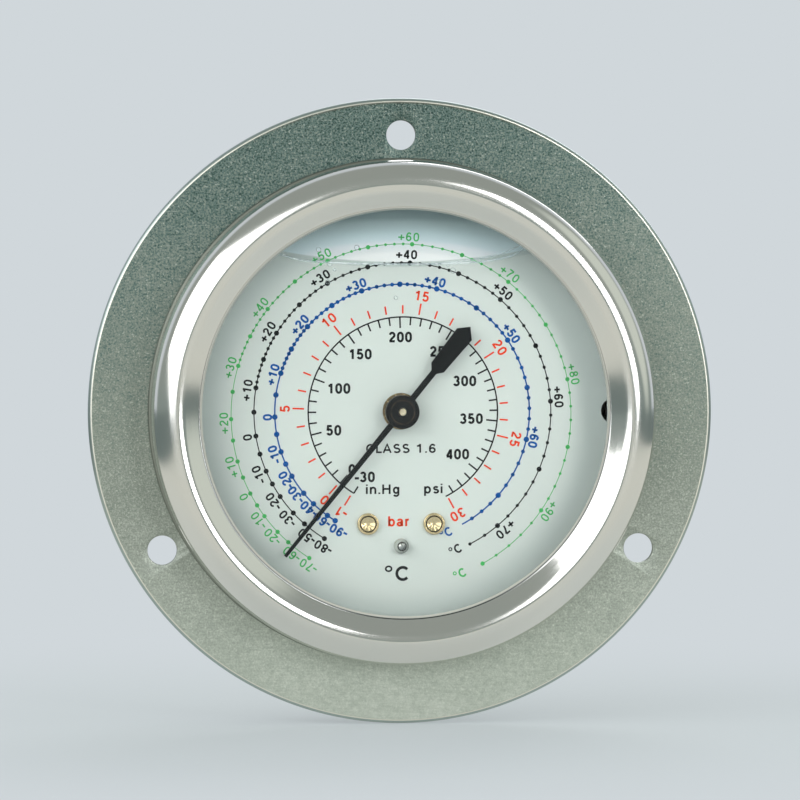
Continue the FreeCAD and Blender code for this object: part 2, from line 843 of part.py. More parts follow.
def link():
    body = strap(tail_place, link_place, link_width, link_front, link_back)
    body = body.cut(bar(tail_place, link_pin_radius + running_clearance, link_front, link_back))
    return body.cut(bar(link_place, link_pin_radius + link_slack, link_front, link_back))


def link_tail_pin():
    shank = bar(tail_place, link_pin_radius, sector_front, link_back + running_clearance)
    head_front = link_back + running_clearance
    head = bar(tail_place, link_pin_head_radius, head_front, head_front + link_pin_head_height)
    return shank.fuse(head).removeSplitter()


def link_tip_pin():
    head_back = link_front - running_clearance
    shank = bar(link_place, link_pin_radius, head_back, tongue_back)
    head = bar(link_place, link_pin_head_radius, head_back - link_pin_head_height, head_back)
    return shank.fuse(head).removeSplitter()


def oval_face(growth):
    # The tube's flat oval section at 12 o'clock, grown all round by the given amount.
    half_width = tube_width / 2 + growth
    straight = tube_height / 2 - tube_width / 2
    middle = (tube_front + tube_back) / 2
    inner = tube_mean_radius - half_width
    outer = tube_mean_radius + half_width
    points = [(inner, middle - straight - half_width), (outer, middle - straight - half_width),
              (outer, middle + straight + half_width), (inner, middle + straight + half_width)]
    wire = outline(points, [half_width] * 4, lambda point: Vector(0, point[1], point[0]))
    return Part.Face(wire)


def oval_sweep(growth, start_clock, end_clock):
    face = oval_face(growth)
    face.rotate(Vector(0, 0, 0), Vector(0, 1, 0), start_clock)
    return face.revolve(Vector(0, 0, 0), Vector(0, 1, 0), end_clock - start_clock)


def bourdon_tube():
    outside = oval_sweep(0, tube_root_clock, tube_tip_clock)
    inside = oval_sweep(-tube_wall, tube_root_clock, tube_tip_clock)
    return outside.cut(inside)


def tube_tip():
    start = tube_tip_clock - tip_lap_clock
    end = start + tip_span_clock
    body = oval_sweep(tip_wall, start, end)
    foot = on_circle(tube_mean_radius, (tube_tip_clock + end) / 2)
    tongue = strap(foot, link_place, tongue_width, tongue_front, tongue_back)
    body = body.fuse(tongue).removeSplitter()
    body = body.cut(oval_sweep(braze_gap, start, tube_tip_clock))
    return body.cut(bar(link_place, link_pin_radius + press_clearance, tongue_front, tongue_back))


def socket_block():
    top = case_screw_circle_radius + socket_head_room
    bottom = -(tube_outer_side + lug_wall)
    half = socket_arm_half_width
    arm_points = [(-half, top), (half, top), (half, bottom), (-half, bottom)]
    arm = plate(arm_points, [half / 3, half / 3, half / 6, half / 6], back_plate_back, case_inner_back)
    disc = bar((0, 0), socket_disc_radius, back_plate_back, case_inner_back)
    lug = block(-lug_left, lug_right, tube_front - lug_front_cover, back_plate_back + lug_wall,
                bottom, -(tube_inner_side - lug_wall))
    body = arm.fuse([disc, lug]).removeSplitter()
    # The arm's ends stay clear of the case's rounded corner.
    corner_start = case_radius - case_corner_radius - case_wall / 2
    body = body.common(bar((0, 0), corner_start, tube_front - lug_front_cover, case_inner_back))
    room = oval_sweep(braze_gap, tube_root_clock, tube_root_clock + math.degrees(2 * half / tube_mean_radius))
    return body.cut(room)


def socket_stem():
    # The stem behind the case: neck, wrench flats, relief, thread and flare nose.
    neck_back = case_depth + stem_neck_length
    wrench_back = neck_back + wrench_length
    relief_back = wrench_back + thread_relief_length
    thread_back = relief_back + thread_length
    nose_back = thread_back + flare_length
    neck = bar((0, 0), stem_radius, case_inner_back, neck_back)
    half = wrench_flats / 2
    wrench = block(-half, half, neck_back, wrench_back, -half, half)
    wrench = wrench.common(bar((0, 0), stem_radius, neck_back, wrench_back))
    thread_radius = thread_diameter / 2
    shoulder_radius = min(thread_radius, flare_nose_radius + flare_length)
    points = [(0, wrench_back), (thread_relief_radius, wrench_back), (thread_relief_radius, relief_back),
              (thread_radius, relief_back), (thread_radius, thread_back), (shoulder_radius, thread_back),
              (flare_nose_radius, nose_back), (0, nose_back)]
    return neck.fuse([wrench, turned(points)]), nose_back


def seal_ring(section_radius):
    level = case_inner_back - section_radius
    return Part.makeTorus(seal_mean_radius, section_radius, Vector(0, level, 0), Vector(0, 1, 0))


def socket():
    stem, nose_back = socket_stem()
    body = socket_block().fuse(stem).removeSplitter()
    groove = tube((0, 0), seal_mean_radius + seal_groove_half, seal_mean_radius - seal_groove_half,
                  case_inner_back - seal_section_radius - seal_groove_half, case_inner_back)
    body = body.cut(groove)
    port_front = back_plate_back + port_front_wall
    body = body.cut(bar((0, 0), port_radius, port_front, nose_back))
    passage_level = port_front + passage_inset
    passage = Part.makeCylinder(passage_radius, tube_mean_radius, Vector(0, passage_level, -tube_mean_radius),
                                Vector(0, 0, 1))
    body = body.cut(passage)
    for place in mount_screw_places:
        body = body.cut(bar(place, screw_shank_radius + press_clearance, back_plate_back,
                            back_plate_back + mount_screw_grip))
    for place in case_screw_places:
        body = body.cut(bar(place, case_screw_radius + press_clearance, case_inner_back - case_screw_grip,
                            case_inner_back))
    return body


def socket_seal():
    return seal_ring(seal_section_radius)


def case_screws():
    return Part.makeCompound([
        slotted_screw(place, case_depth, -1, case_screw_head_radius, case_screw_head_height,
                      case_screw_radius, case_wall + case_screw_grip) for place in case_screw_places])


def throttle_screw():
    nose_back = socket_stem()[1]
    back = nose_back - throttle_inset
    return tube((0, 0), port_radius - press_clearance, throttle_bore_radius, back - throttle_length, back)


def build():
    return {
        "mounting_flange": mounting_flange(), "bezel_ring": bezel_ring(), "window": window(),
        "window_gasket": window_gasket(), "case": case_shell(), "filler_plug": filler_plug(),
        "dial": dial(), "dial_rivets": dial_rivets(), "dial_posts": dial_posts(), "stop_pin": stop_pin(),
        "pointer": pointer(), "pointer_hub": pointer_hub(), "pinion_arbor": pinion_arbor(),
        "sector_gear": sector_gear(), "sector_arbor": sector_arbor(),
        "movement_front_plate": movement_front_plate(), "movement_back_plate": movement_back_plate(),
        "movement_pillars": movement_pillars(), "movement_screws": movement_screws(),
        "mount_screws": mount_screws(), "front_bearing": front_bearing(), "hairspring": hairspring(),
        "hairspring_collet": hairspring_collet(), "hairspring_stud": hairspring_stud(), "link": link(),
        "link_tail_pin": link_tail_pin(), "link_tip_pin": link_tip_pin(), "bourdon_tube": bourdon_tube(),
        "tube_tip": tube_tip(), "socket": socket(), "socket_seal": socket_seal(),
        "case_screws": case_screws(), "throttle_screw": throttle_screw(),
    }


os.makedirs("parts", exist_ok=True)
for name, shape in build().items():
    shape.exportStep("parts/" + name + ".step")
    print(name, "valid" if shape.isValid() else "not valid", len(shape.Solids), round(shape.Volume, 3))
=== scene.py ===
# Front flange pressure gauge: fine shapes, dial print, finishes, studio and camera round the fixed frame.
import math

import bmesh
import bpy
from mathutils import Matrix, Vector


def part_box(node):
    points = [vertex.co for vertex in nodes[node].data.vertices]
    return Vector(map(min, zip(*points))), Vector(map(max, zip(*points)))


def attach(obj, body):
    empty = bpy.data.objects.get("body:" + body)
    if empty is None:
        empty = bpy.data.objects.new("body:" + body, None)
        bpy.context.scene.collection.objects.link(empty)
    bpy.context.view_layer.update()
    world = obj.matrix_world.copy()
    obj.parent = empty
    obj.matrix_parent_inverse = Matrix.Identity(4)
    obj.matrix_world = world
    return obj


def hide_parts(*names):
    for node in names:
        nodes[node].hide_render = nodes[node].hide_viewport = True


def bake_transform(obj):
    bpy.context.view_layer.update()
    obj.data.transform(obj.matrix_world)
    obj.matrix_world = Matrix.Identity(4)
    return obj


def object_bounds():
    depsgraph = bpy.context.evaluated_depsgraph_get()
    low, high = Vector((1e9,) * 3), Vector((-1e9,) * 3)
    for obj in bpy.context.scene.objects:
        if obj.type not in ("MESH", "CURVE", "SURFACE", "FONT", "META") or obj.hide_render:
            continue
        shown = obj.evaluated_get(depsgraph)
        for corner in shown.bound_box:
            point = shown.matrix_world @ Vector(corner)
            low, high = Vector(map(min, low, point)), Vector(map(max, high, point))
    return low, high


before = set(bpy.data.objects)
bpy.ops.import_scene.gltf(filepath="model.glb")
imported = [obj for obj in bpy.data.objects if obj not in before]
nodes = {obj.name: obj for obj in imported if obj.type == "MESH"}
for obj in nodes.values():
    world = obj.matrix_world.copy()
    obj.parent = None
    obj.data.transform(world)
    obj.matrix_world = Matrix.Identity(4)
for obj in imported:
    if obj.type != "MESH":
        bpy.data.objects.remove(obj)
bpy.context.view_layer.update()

mm = 0.001
print("stage: frame loaded,", len(nodes), "nodes")


# Wraps a shader socket, so that patterns are written as sums
class Wire:
    def __init__(self, tree, socket=None):
        self.tree = tree
        self.socket = socket

    def put(self, kind, sockets=None, output=0, **settings):
        node = self.tree.nodes.new("ShaderNode" + kind)
        for key, value in settings.items():
            setattr(node, key, value)
        for key, value in (sockets or {}).items():
            if isinstance(value, Wire):
                self.tree.links.new(value.socket, node.inputs[key])
            else:
                node.inputs[key].default_value = value
        return Wire(self.tree, node.outputs[output])

    def sum(self, operation, *values):
        return self.put("Math", dict(enumerate(values)), operation=operation)

    def __add__(self, other):
        return self.sum("ADD", self, other)

    def __sub__(self, other):
        return self.sum("SUBTRACT", self, other)

    def __rsub__(self, other):
        return self.sum("SUBTRACT", other, self)

    def __mul__(self, other):
        return self.sum("MULTIPLY", self, other)

    def __pow__(self, other):
        return self.sum("POWER", self, other)

    def step(self, low, high):
        # 0 below low, 1 above high, smooth between
        return self.put("MapRange", {0: self, 1: low, 2: high, 3: 0.0, 4: 1.0}, interpolation_type="SMOOTHSTEP")

    def tint(self, first, second):
        # From the first colour to the second as this value goes from 0 to 1
        wires = {0: self, 6: first if isinstance(first, Wire) else (*first, 1),
                 7: second if isinstance(second, Wire) else (*second, 1)}
        return self.put("Mix", wires, 2, data_type="RGBA")

    def stops(self, *stops):
        made = self.put("ValToRGB", {0: self})
        ramp = made.socket.node.color_ramp
        while len(ramp.elements) < len(stops):
            ramp.elements.new(0.5)
        for element, (place, tone) in zip(ramp.elements, stops):
            element.position = place
            element.color = (*tone, 1)
        return made

    def place(self, scale=(1, 1, 1), turn=(0, 0, 0)):
        # Object coordinates in millimetres
        size = tuple(value / mm for value in scale)
        return self.put("Mapping", {0: self.put("TexCoord", output=3), 2: turn, 3: size})

    def noise(self, size, detail=2.0, rough=0.5, where=None):
        return self.put("TexNoise", {"Vector": where or self.place(), "Scale": 1 / size, "Detail": detail,
                                     "Roughness": rough})

    def axes(self, where=None):
        node = self.put("SeparateXYZ", {0: where or self.place()}).socket.node
        return [Wire(self.tree, output) for output in node.outputs]

    def radius(self):
        x, y, z = self.axes()
        return (x * x + z * z) ** 0.5


def finish(name, colour, metal=0.0, rough=0.4, slot="", **constants):
    # A Principled material and the wire that leaves its shader, to write its patterns on
    made = bpy.data.materials.new(name)
    made.use_nodes = True
    shader = made.node_tree.nodes["Principled BSDF"]
    constants |= {"Base Color": (*colour, 1), "Metallic": metal, "Roughness": rough}
    for key, value in constants.items():
        shader.inputs[key.replace("_", " ")].default_value = value
    made["slot"] = slot
    return made, Wire(made.node_tree, shader.outputs[0])


def paint(made, w, colour, rough, height=None, strength=0.1, depth=0.01):
    # Patterns for colour, roughness and bump. The bump's depth is in millimetres.
    wires = {"Base Color": colour, "Roughness": rough}
    if height:
        wires["Normal"] = w.put("Bump", {"Strength": strength, "Distance": depth * mm, "Height": height})
    for key, wire in wires.items():
        w.tree.links.new(wire.socket, w.socket.node.inputs[key])
    return made


def cover(made, share, first, second):
    # The surface goes from the first shader to the second as the share goes from 0 to 1
    both = first.put("MixShader", {0: share, 1: first, 2: second})
    made.node_tree.links.new(both.socket, made.node_tree.nodes["Material Output"].inputs["Surface"])
    return made


# Finishes
def flangeFinish():
    # Mottled grey steel with scratches, and a bare rounded edge with a painted highlight band on it. Shades go by
    # height: painted shade darkens the top and painted light makes the bottom paler, and a painted shade line lies
    # just inside the edge at the top.
    look = {"paintedShadesByHeight": [(42, (0.122, 0.194, 0.174)), (32, (0.13, 0.192, 0.18)), (18, (0.225, 0.277, 0.247)),
                       (0, (0.28, 0.315, 0.272)), (-18, (0.36, 0.39, 0.35)), (-32, (0.465, 0.51, 0.45)),
                       (-42, (0.57, 0.61, 0.545))], "across": 85,
            "deep": (0.035, 0.065, 0.06), "pale": (0.8, 0.82, 0.76), "edge": 42.0, "bare": (0.4, 0.47, 0.46),
            "line": (0.84, 0.82, 0.74)}
    made, w = finish("flangeSteel", look["paintedShadesByHeight"][3][1], 0.85, 0.42, "flange_steel")
    x, y, z = w.axes()
    edge = look["edge"]
    grain = w.noise(0.26, 3.0, 0.75)
    blotch = w.noise(0.7, 3.0, 0.7)
    cloud = w.noise(9.0, 3.0, 0.6)
    speck = w.noise(0.3, 1.0, 0.5).step(0.66, 0.75)
    streak = w.noise(1.0, 2.0, 0.6, w.place((0.35, 1, 4.0), (0, 0.5, 0)))
    scratch = (w.noise(1.0, 1.0, 0.4, w.place((0.25, 1, 6.0), (0, -0.9, 0))) - 0.5) ** 2.0
    front = (y * -1.0).step(0.2, 0.8)
    # Painted light and shade: the colour follows the height, darker at the top and paler at the bottom, and changes
    # a little from side to side
    height = (z * (-1 / look["across"]) + 0.5) * front + (1 - front) * 0.45
    tone = height + x * (1 - height) * 0.002 + (grain - 0.5) * (2.6 - height * height * 2.4) + (blotch - 0.5) * 0.35
    # A darker patch near the right edge
    rightEdgeDarkening = 1 - ((x - 41) ** 2.0 + (z + 3) ** 2.0).step(20, 260)
    tone = tone + (cloud - 0.5) * 0.12 + (streak - 0.5) * 0.2 - rightEdgeDarkening * 0.08
    stops = [(0.15 + 0.7 * (0.5 - level / look["across"]), shade) for level, shade in look["paintedShadesByHeight"]]
    base = (tone * 0.7 + 0.15).stops((0.0, look["deep"]), *stops, (1.0, look["pale"]))
    marks = (1 - scratch.step(0.0, 0.00005)) * cloud.step(0.47, 0.6)
    worn = (speck * 0.4 + marks * 0.35).tint(base, (0.74, 0.76, 0.7))
    reach = w.radius()
    rim = reach.step(edge - 0.06, edge + 0.04)
    # Painted highlight: a pale band where the edge starts to round, with the outer rounding darker as painted shade
    bare = reach.step(edge + 0.1, edge + 0.2).tint(look["line"], look["bare"])
    # Painted shade line just inside the edge at the top
    shade = reach.step(edge - 0.35, edge - 0.1) * z.step(33, 42) * 0.6
    return paint(made, w, rim.tint(shade.tint(worn, (0.13, 0.12, 0.09)), bare),
                 (grain * 0.2 + 0.33 - speck * 0.1) * (1 - rim) + rim * 0.3,
                 (grain + speck * 0.6) * (1 - rim), 0.35, 0.03)


def bezelFinish():
    made, w = finish("bezelSteel", (0.82, 0.81, 0.79), 1.0, 0.12, "bezel_steel")
    speck = w.noise(0.35, 2.0, 0.6).step(0.7, 0.8)
    skin = w.noise(14.0).tint((0.8, 0.8, 0.79), (0.85, 0.83, 0.8))
    skin = (speck * 0.3).tint(skin, (0.45, 0.45, 0.43))
    x, y, z = w.axes()
    # A dark line of dirt and painted shade in the crease where the lip meets the glass, stronger towards the bottom
    creaseDirtAndShade = (1 - ((w.radius() - 27.78) ** 2.0).step(0.001, 0.009)) * (0.85 - z.step(-12.0, 14.0) * 0.6)
    return paint(made, w, creaseDirtAndShade.tint(skin, (0.03, 0.04, 0.045)), w.noise(6.0, 3.0, 0.6) * 0.08 + 0.09, w.noise(3.0),
                 0.06, 0.05)


def plainMetal(name, colour, rough, slot, grain=0.5, spread=0.12):
    # Bare metal with fine tool marks and a little tarnish
    made, w = finish(name, colour, 1.0, rough, slot)
    fine = w.noise(grain, 3.0, 0.65)
    dull = tuple(value * 0.72 for value in colour)
    return paint(made, w, (fine * 0.5 + w.noise(grain * 9) * 0.6 - 0.05).tint(dull, colour),
                 fine * spread + rough - spread / 2, fine, 0.15)


def rubberFinish():
    made, w = finish("blackRubber", (0.02, 0.02, 0.021), 0.0, 0.62, "seal_rubber")
    skin = w.noise(0.5, 3.0, 0.6)
    dust = w.noise(3.0, 3.0, 0.7).step(0.5, 0.85)
    return paint(made, w, (dust * 0.5).tint((0.018, 0.018, 0.019), (0.07, 0.07, 0.068)), skin * 0.2 + 0.5, skin,
                 0.2, 0.03)


def clearThrough(w):
    return w.put("BsdfTransparent", {"Color": (0.98, 0.995, 0.99, 1)})


def glassFinish():
    # Clear plate glass that lets the lamps through
    made, w = finish("windowGlass", (0.97, 0.99, 0.985), 0.0, 0.0, "window_glass", Transmission_Weight=1.0, IOR=1.2)
    return cover(made, w.put("LightPath", output=1), w, clearThrough(w))


def dialFinish():
    # The rim is darkened with painted shade of the bezel. Above the liquid, where the dial is dry, painted light
    # makes it paler just over the line and painted shade makes it duller towards the top, and a painted shadow line
    # runs just under the liquid line.
    made, w = finish("dialPaint", (0.71, 0.75, 0.725), 0.0, 0.55, "dial_white", Specular_IOR_Level=0.12)
    x, y, z = w.axes()
    fine = w.noise(0.25)
    skin = (w.noise(12.0) * 0.5 + fine * 0.3).tint((0.7, 0.74, 0.705), (0.735, 0.775, 0.74))
    # Painted shade of the bezel round the rim
    rim = (((x + 0.4) ** 2.0 + (z + 1.2) ** 2.0) ** 0.5).step(22.6, 26.8)
    skin = (rim * 0.27).tint(skin, (0.36, 0.47, 0.46))
    line = z - 19.9 - (x * 0.075) ** 2.0
    away = ((x * 0.035) ** 2.0 + ((z - 19.4) * 0.145) ** 2.0) ** 0.5
    # Painted light just over the liquid line, and painted shade above it towards the bezel
    shade = away.stops((0.0, (0.95, 0.95, 0.95)), (0.3, (0.95, 0.95, 0.95)), (0.36, (0.85, 0.87, 0.88)),
                       (0.5, (0.79, 0.83, 0.87)), (0.57, (0.67, 0.78, 0.82)), (0.68, (0.6, 0.73, 0.76)),
                       (0.8, (0.52, 0.64, 0.66)), (0.92, (0.46, 0.57, 0.58)), (1.0, (0.36, 0.46, 0.47)))
    # Painted shadow line just under the liquid line
    under = 1 - ((line - 0.05) ** 2.0).step(0.02, 0.2)
    skin = (under * 0.45).tint(line.step(0.2, 0.5).tint(skin, shade), (0.38, 0.46, 0.46))
    return paint(made, w, skin, fine * 0.1 + 0.5)


def inkFinish(name, colour):
    made, w = finish(name, colour, 0.0, 0.5, "dial_white", Specular_IOR_Level=0.1)
    fine = w.noise(0.12, 2.0, 0.6)
    thin = tuple(min(1.0, value * 1.35 + 0.02) for value in colour)
    return paint(made, w, (fine * 0.5).tint(colour, thin), fine * 0.15 + 0.42)


def liquidFinish():
    # The liquid's rolled edge: a pale bead of painted light, for the light caught on the meniscus, with thin dark
    # places
    made, w = finish("liquidSheen", (0.8, 0.85, 0.86), 0.0, 0.12, "window_glass")
    cloud = w.noise(1.6, 2.0, 0.6).step(0.42, 0.62)
    paint(made, w, cloud.tint((0.42, 0.5, 0.53), (0.86, 0.9, 0.91)), cloud * 0.1 + 0.08)
    return cover(made, cloud * 0.25 + 0.3, clearThrough(w), w)


def ringedMetal(name, slot, skin, middle, ring, width, ringDirtAndShade, rough, twins=False):
    # A turned head with a dark ring of dirt and painted shade round its middle, and across a single head painted
    # light and shade, from the first colour towards the upper left to the second towards the lower right. Twins
    # stand at +x and -x and get a random tone instead.
    made, w = finish(name, skin[0], 1.0, rough, slot)
    x, y, z = w.axes()
    across = (w.sum("ABSOLUTE", x) if twins else x) - middle[0]
    up = z - middle[1]
    fine = w.noise(0.3, 3.0, 0.6)
    # Painted light and shade across a single head; twins get a random tone
    side = fine * 0.5 if twins else across * -0.5 + up * 0.3
    # Dark ring of dirt and painted shade
    dirtAndShadeRing = 1 - (((across * across + up * up) ** 0.5 - ring) ** 2.0).step((width * 0.3) ** 2, width ** 2)
    return paint(made, w, (dirtAndShadeRing * 0.9).tint((side + 0.5).step(0.1, 0.9).tint(skin[1], skin[0]), ringDirtAndShade),
                 fine * 0.15 + rough - 0.05, fine)


def pointerFinish(name, ring=None):
    made, w = finish(name, (0.006, 0.007, 0.009), 0.0, 0.5, "pointer_black", Specular_IOR_Level=0.12)
    fine = w.noise(0.3, 3.0, 0.6)
    skin = fine.tint((0.006, 0.007, 0.008), (0.02, 0.021, 0.022))
    if ring:
        # The paint is worn through in the groove
        worn = (1 - ((w.radius() - ring) ** 2.0).step(0.002, 0.008)) * fine.step(0.35, 0.6)
        skin = (worn * 0.8).tint(skin, (0.11, 0.075, 0.045))
    return paint(made, w, skin, fine * 0.15 + 0.3, fine)


flangeSteel = flangeFinish()
bezelSteel = bezelFinish()
caseSteel = plainMetal("drawnSteel", (0.6, 0.6, 0.585), 0.28, "case_steel", 0.8, 0.16)
pinSteel = plainMetal("turnedSteel", (0.58, 0.59, 0.58), 0.25, "pin_steel", 0.3)
brassMetal = plainMetal("turnedBrass", (0.85, 0.64, 0.38), 0.26, "brass", 0.4)
tubeBronze = plainMetal("tubeBronze", (0.76, 0.5, 0.3), 0.3, "tube_bronze", 1.0, 0.2)
springBronze = plainMetal("springBronze", (0.8, 0.6, 0.34), 0.3, "spring_bronze", 0.4)
blackRubber = rubberFinish()
windowGlass = glassFinish()
liquidSheen = liquidFinish()
dialPaint = dialFinish()
pointerPaint = pointerFinish("pointerPaint")
hubPaint = pointerFinish("hubPaint", 1.6)
# Painted shade: the foot bead is darker than the bezel, as the shade line where the bezel meets the flange
footShadeSteel = plainMetal("footShadeSteel", (0.3, 0.32, 0.28), 0.5, "bezel_steel")
arborBrass = ringedMetal("arborBrass", "brass", ((0.62, 0.52, 0.36), (0.9, 0.78, 0.56)), (0, 0), 0.66, 0.16,
                         (0.03, 0.02, 0.012), 0.3)
rivetBrass = ringedMetal("rivetBrass", "brass", ((0.82, 0.65, 0.39), (0.6, 0.44, 0.25)), (4.5, -15.3), 1.06, 0.12,
                         (0.06, 0.045, 0.025), 0.2, True)
pinTop = ringedMetal("pinTop", "pin_steel", ((0.66, 0.66, 0.63), (0.22, 0.23, 0.22)), (0.0, -18.3), 0.56, 0.11,
                     (0.03, 0.03, 0.03), 0.16)
inks = {ink: inkFinish("ink" + ink.capitalize(), colour) for ink, colour in {
    "black": (0.01, 0.011, 0.012), "red": (0.84, 0.05, 0.008), "blue": (0.002, 0.085, 0.34),
    "green": (0.07, 0.47, 0.125)}.items()}
print("stage: finishes")


def dress(thing, material):
    thing.data.materials.clear()
    thing.data.materials.append(material)


nodeFinish = {
    "window": windowGlass, "mounting_flange": flangeSteel, "bezel_ring": bezelSteel, "case": caseSteel,
    "dial": dialPaint, "bourdon_tube": tubeBronze, "pinion_arbor": arborBrass, "hairspring": springBronze,
    **dict.fromkeys(["window_gasket", "filler_plug", "socket_seal"], blackRubber),
    **dict.fromkeys(["pointer", "pointer_hub"], pointerPaint),
    **dict.fromkeys(["stop_pin", "sector_arbor", "movement_screws", "mount_screws", "link_tail_pin",
                     "link_tip_pin", "case_screws"], pinSteel)}
for name, thing in nodes.items():
    dress(thing, nodeFinish.get(name, brassMetal))


# Modelling steps
facing = (math.pi / 2, 0, 0)  # turns what lies flat to face along the gauge's axis


def clearSelection():
    if bpy.context.object and bpy.context.object.mode != "OBJECT":
        bpy.ops.object.mode_set(mode="OBJECT")
    bpy.ops.object.select_all(action="DESELECT")


def pick(thing):
    # This one alone is selected, and active
    clearSelection()
    thing.select_set(True)
    bpy.context.view_layer.objects.active = thing


def settle():
    # The object's place goes into its mesh
    bpy.ops.object.transform_apply(location=True, rotation=True, scale=True)
    return bpy.context.object


def editAll():
    bpy.ops.object.mode_set(mode="EDIT")
    bpy.ops.mesh.select_all(action="SELECT")


def weld(distance):
    editAll()
    bpy.ops.mesh.remove_doubles(threshold=distance * mm)


def smooth(angle):
    bpy.ops.object.mode_set(mode="OBJECT")
    bpy.ops.object.shade_smooth_by_angle(angle=math.radians(angle))


def modify(piece, kind, **settings):
    change = piece.modifiers.new("change", kind)
    for key, value in settings.items():
        setattr(change, key, value)
    bpy.ops.object.modifier_apply(modifier=change.name)


def startPoint(place):
    # A mesh of one point, in edit mode
    clearSelection()
    bpy.ops.mesh.primitive_plane_add(size=mm, location=place)
    piece = settle()
    editAll()
    bpy.ops.mesh.select_mode(type="VERT")
    bpy.ops.mesh.merge(type="CENTER")
    return piece


def pull(way):
    bpy.ops.mesh.extrude_region_move(TRANSFORM_OT_translate={"value": way})


def spin(steps, angle, middle=(0, 0, 0)):
    bpy.ops.mesh.spin(steps=steps, angle=math.radians(angle), center=middle, axis=(0, 1, 0))


def selectEdges(piece, wanted):
    # The edges that pass a test. It is given each edge and its two ends in millimetres.
    bpy.ops.mesh.select_mode(type="EDGE")
    bpy.ops.mesh.select_all(action="DESELECT")
    bm = bmesh.from_edit_mesh(piece.data)
    for edge in bm.edges:
        edge.select_set(wanted(edge, [vertex.co / mm for vertex in edge.verts]))
    bmesh.update_edit_mesh(piece.data)


def added(name, data):
    thing = bpy.data.objects.new(name, data)
    bpy.context.scene.collection.objects.link(thing)
    return thing


def rounded(corners, steps):
    # Corners are (radius, y) or (radius, y, rounding). Each rounding becomes a short arc.
    path = []
    spots = [Vector(corner[:2]) for corner in corners]
    for before, here, after, corner in zip([spots[-1]] + spots, spots, spots[1:] + spots[:1], corners):
        bend = corner[2] if len(corner) > 2 else 0
        if not bend:
            path.append(here)
            continue
        back = (before - here).normalized()
        ahead = (after - here).normalized()
        half = back.angle(ahead) / 2
        middle = here + (back + ahead).normalized() * bend / math.sin(half)
        start = here + back * bend / math.tan(half) - middle
        end = here + ahead * bend / math.tan(half) - middle
        turn = start.angle_signed(end)
        for step in range(steps + 1):
            angle = -turn * step / steps
            path.append(middle + Vector((start.x * math.cos(angle) - start.y * math.sin(angle),
                                         start.x * math.sin(angle) + start.y * math.cos(angle))))
    return path


def spun(name, corners, steps, sides, place=(0, 0), angle=32):
    # A turned piece: a chain of points is drawn in the section and spun about the gauge's axis. A chain that
    # starts away from the axis is closed.
    path = rounded(corners, steps)
    here = path[0]
    piece = startPoint((here.x * mm, here.y * mm, 0))
    for point in path[1:]:
        pull(((point.x - here.x) * mm, (point.y - here.y) * mm, 0))
        here = point
    if path[0].x > 0:
        bm = bmesh.from_edit_mesh(piece.data)
        bm.edges.new([vertex for vertex in bm.verts if len(vertex.link_edges) == 1])
        bmesh.update_edit_mesh(piece.data)
    editAll()
    spin(sides, 360)
    weld(0.0004)
    bpy.ops.mesh.normals_make_consistent(inside=False)
    if place != (0, 0):
        bpy.ops.transform.translate(value=(place[0] * mm, 0, place[1] * mm))
    smooth(angle)
    piece.name = name
    return piece


def carve(piece, tool, operation):
    # A Boolean modifier with a tool that is used up
    pick(piece)
    modify(piece, "BOOLEAN", object=tool, operation=operation, solver="EXACT")
    bpy.data.objects.remove(tool)


def roundBar(place, radius, depth, sides=48, turn=facing):
    clearSelection()
    bpy.ops.mesh.primitive_cylinder_add(vertices=sides, radius=radius * mm, depth=depth * mm,
                                        location=Vector(place) * mm, rotation=turn)
    return settle()


def bore(piece, places, radius, front, back):
    for x, z in places:
        carve(piece, roundBar((x, (front + back) / 2, z), radius, back - front + 2), "DIFFERENCE")


def onCircle(radius, clock):
    angle = math.radians(clock)
    return radius * math.sin(angle), radius * math.cos(angle)


def edges(name):
    low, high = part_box(name)
    return low / mm, high / mm


def stand(piece, material, *replaced, body="gauge_body"):
    dress(piece, material)
    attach(piece, body)
    if replaced:
        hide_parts(*replaced)


# Flange
flange = {"edge": 0.55, "holeEdge": 0.14, "bolts": 37.5, "hole": 2.0, "collarIn": 31.05, "collarWall": 0.7,
          "bend": 0.5}
low, high = edges("mounting_flange")
collarIn, collarOut = flange["collarIn"], flange["collarIn"] + flange["collarWall"]
flangePlate = spun("flangePlate", [
    (collarIn, low.y), (high.x, low.y, flange["edge"]), (high.x, 0), (collarOut, 0, flange["bend"]),
    (collarOut, high.y), (collarIn, high.y)], 10, 256)
boltPlaces = [onCircle(flange["bolts"], clock) for clock in (0, 120, 240)]
bore(flangePlate, boltPlaces, flange["hole"], low.y, 0)


def onHoleEdge(edge, ends):
    return all(abs(end.y - low.y) < 0.001 for end in ends) and any(
        all(abs(math.hypot(end.x - x, end.z - z) - flange["hole"]) < 0.01 for end in ends) for x, z in boltPlaces)


pick(flangePlate)
weld(0.002)
selectEdges(flangePlate, onHoleEdge)
bpy.ops.mesh.bevel(offset=flange["holeEdge"] * mm, segments=2)
smooth(30)
stand(flangePlate, flangeSteel, "mounting_flange")
print("stage: flange")


# Bezel. The ridge's points are an offset inwards, a rise and a rounding.
bezel = {"sheet": 0.65, "crimp": 2.4, "crimpBend": 0.6, "shoulder": 2.9, "drop": 0.4, "ridgeIn": 3.35,
         "ridge": [(0, 0, 1.1), (0.75, 0.18, 1.8), (1.7, 0.8, 4.0)], "coneRise": 1.57, "coneWidth": 2.8,
         "lip": 0.55, "lipBend": 1.0, "bead": 0.3, "beadRise": 0.9}
low, high = edges("bezel_ring")


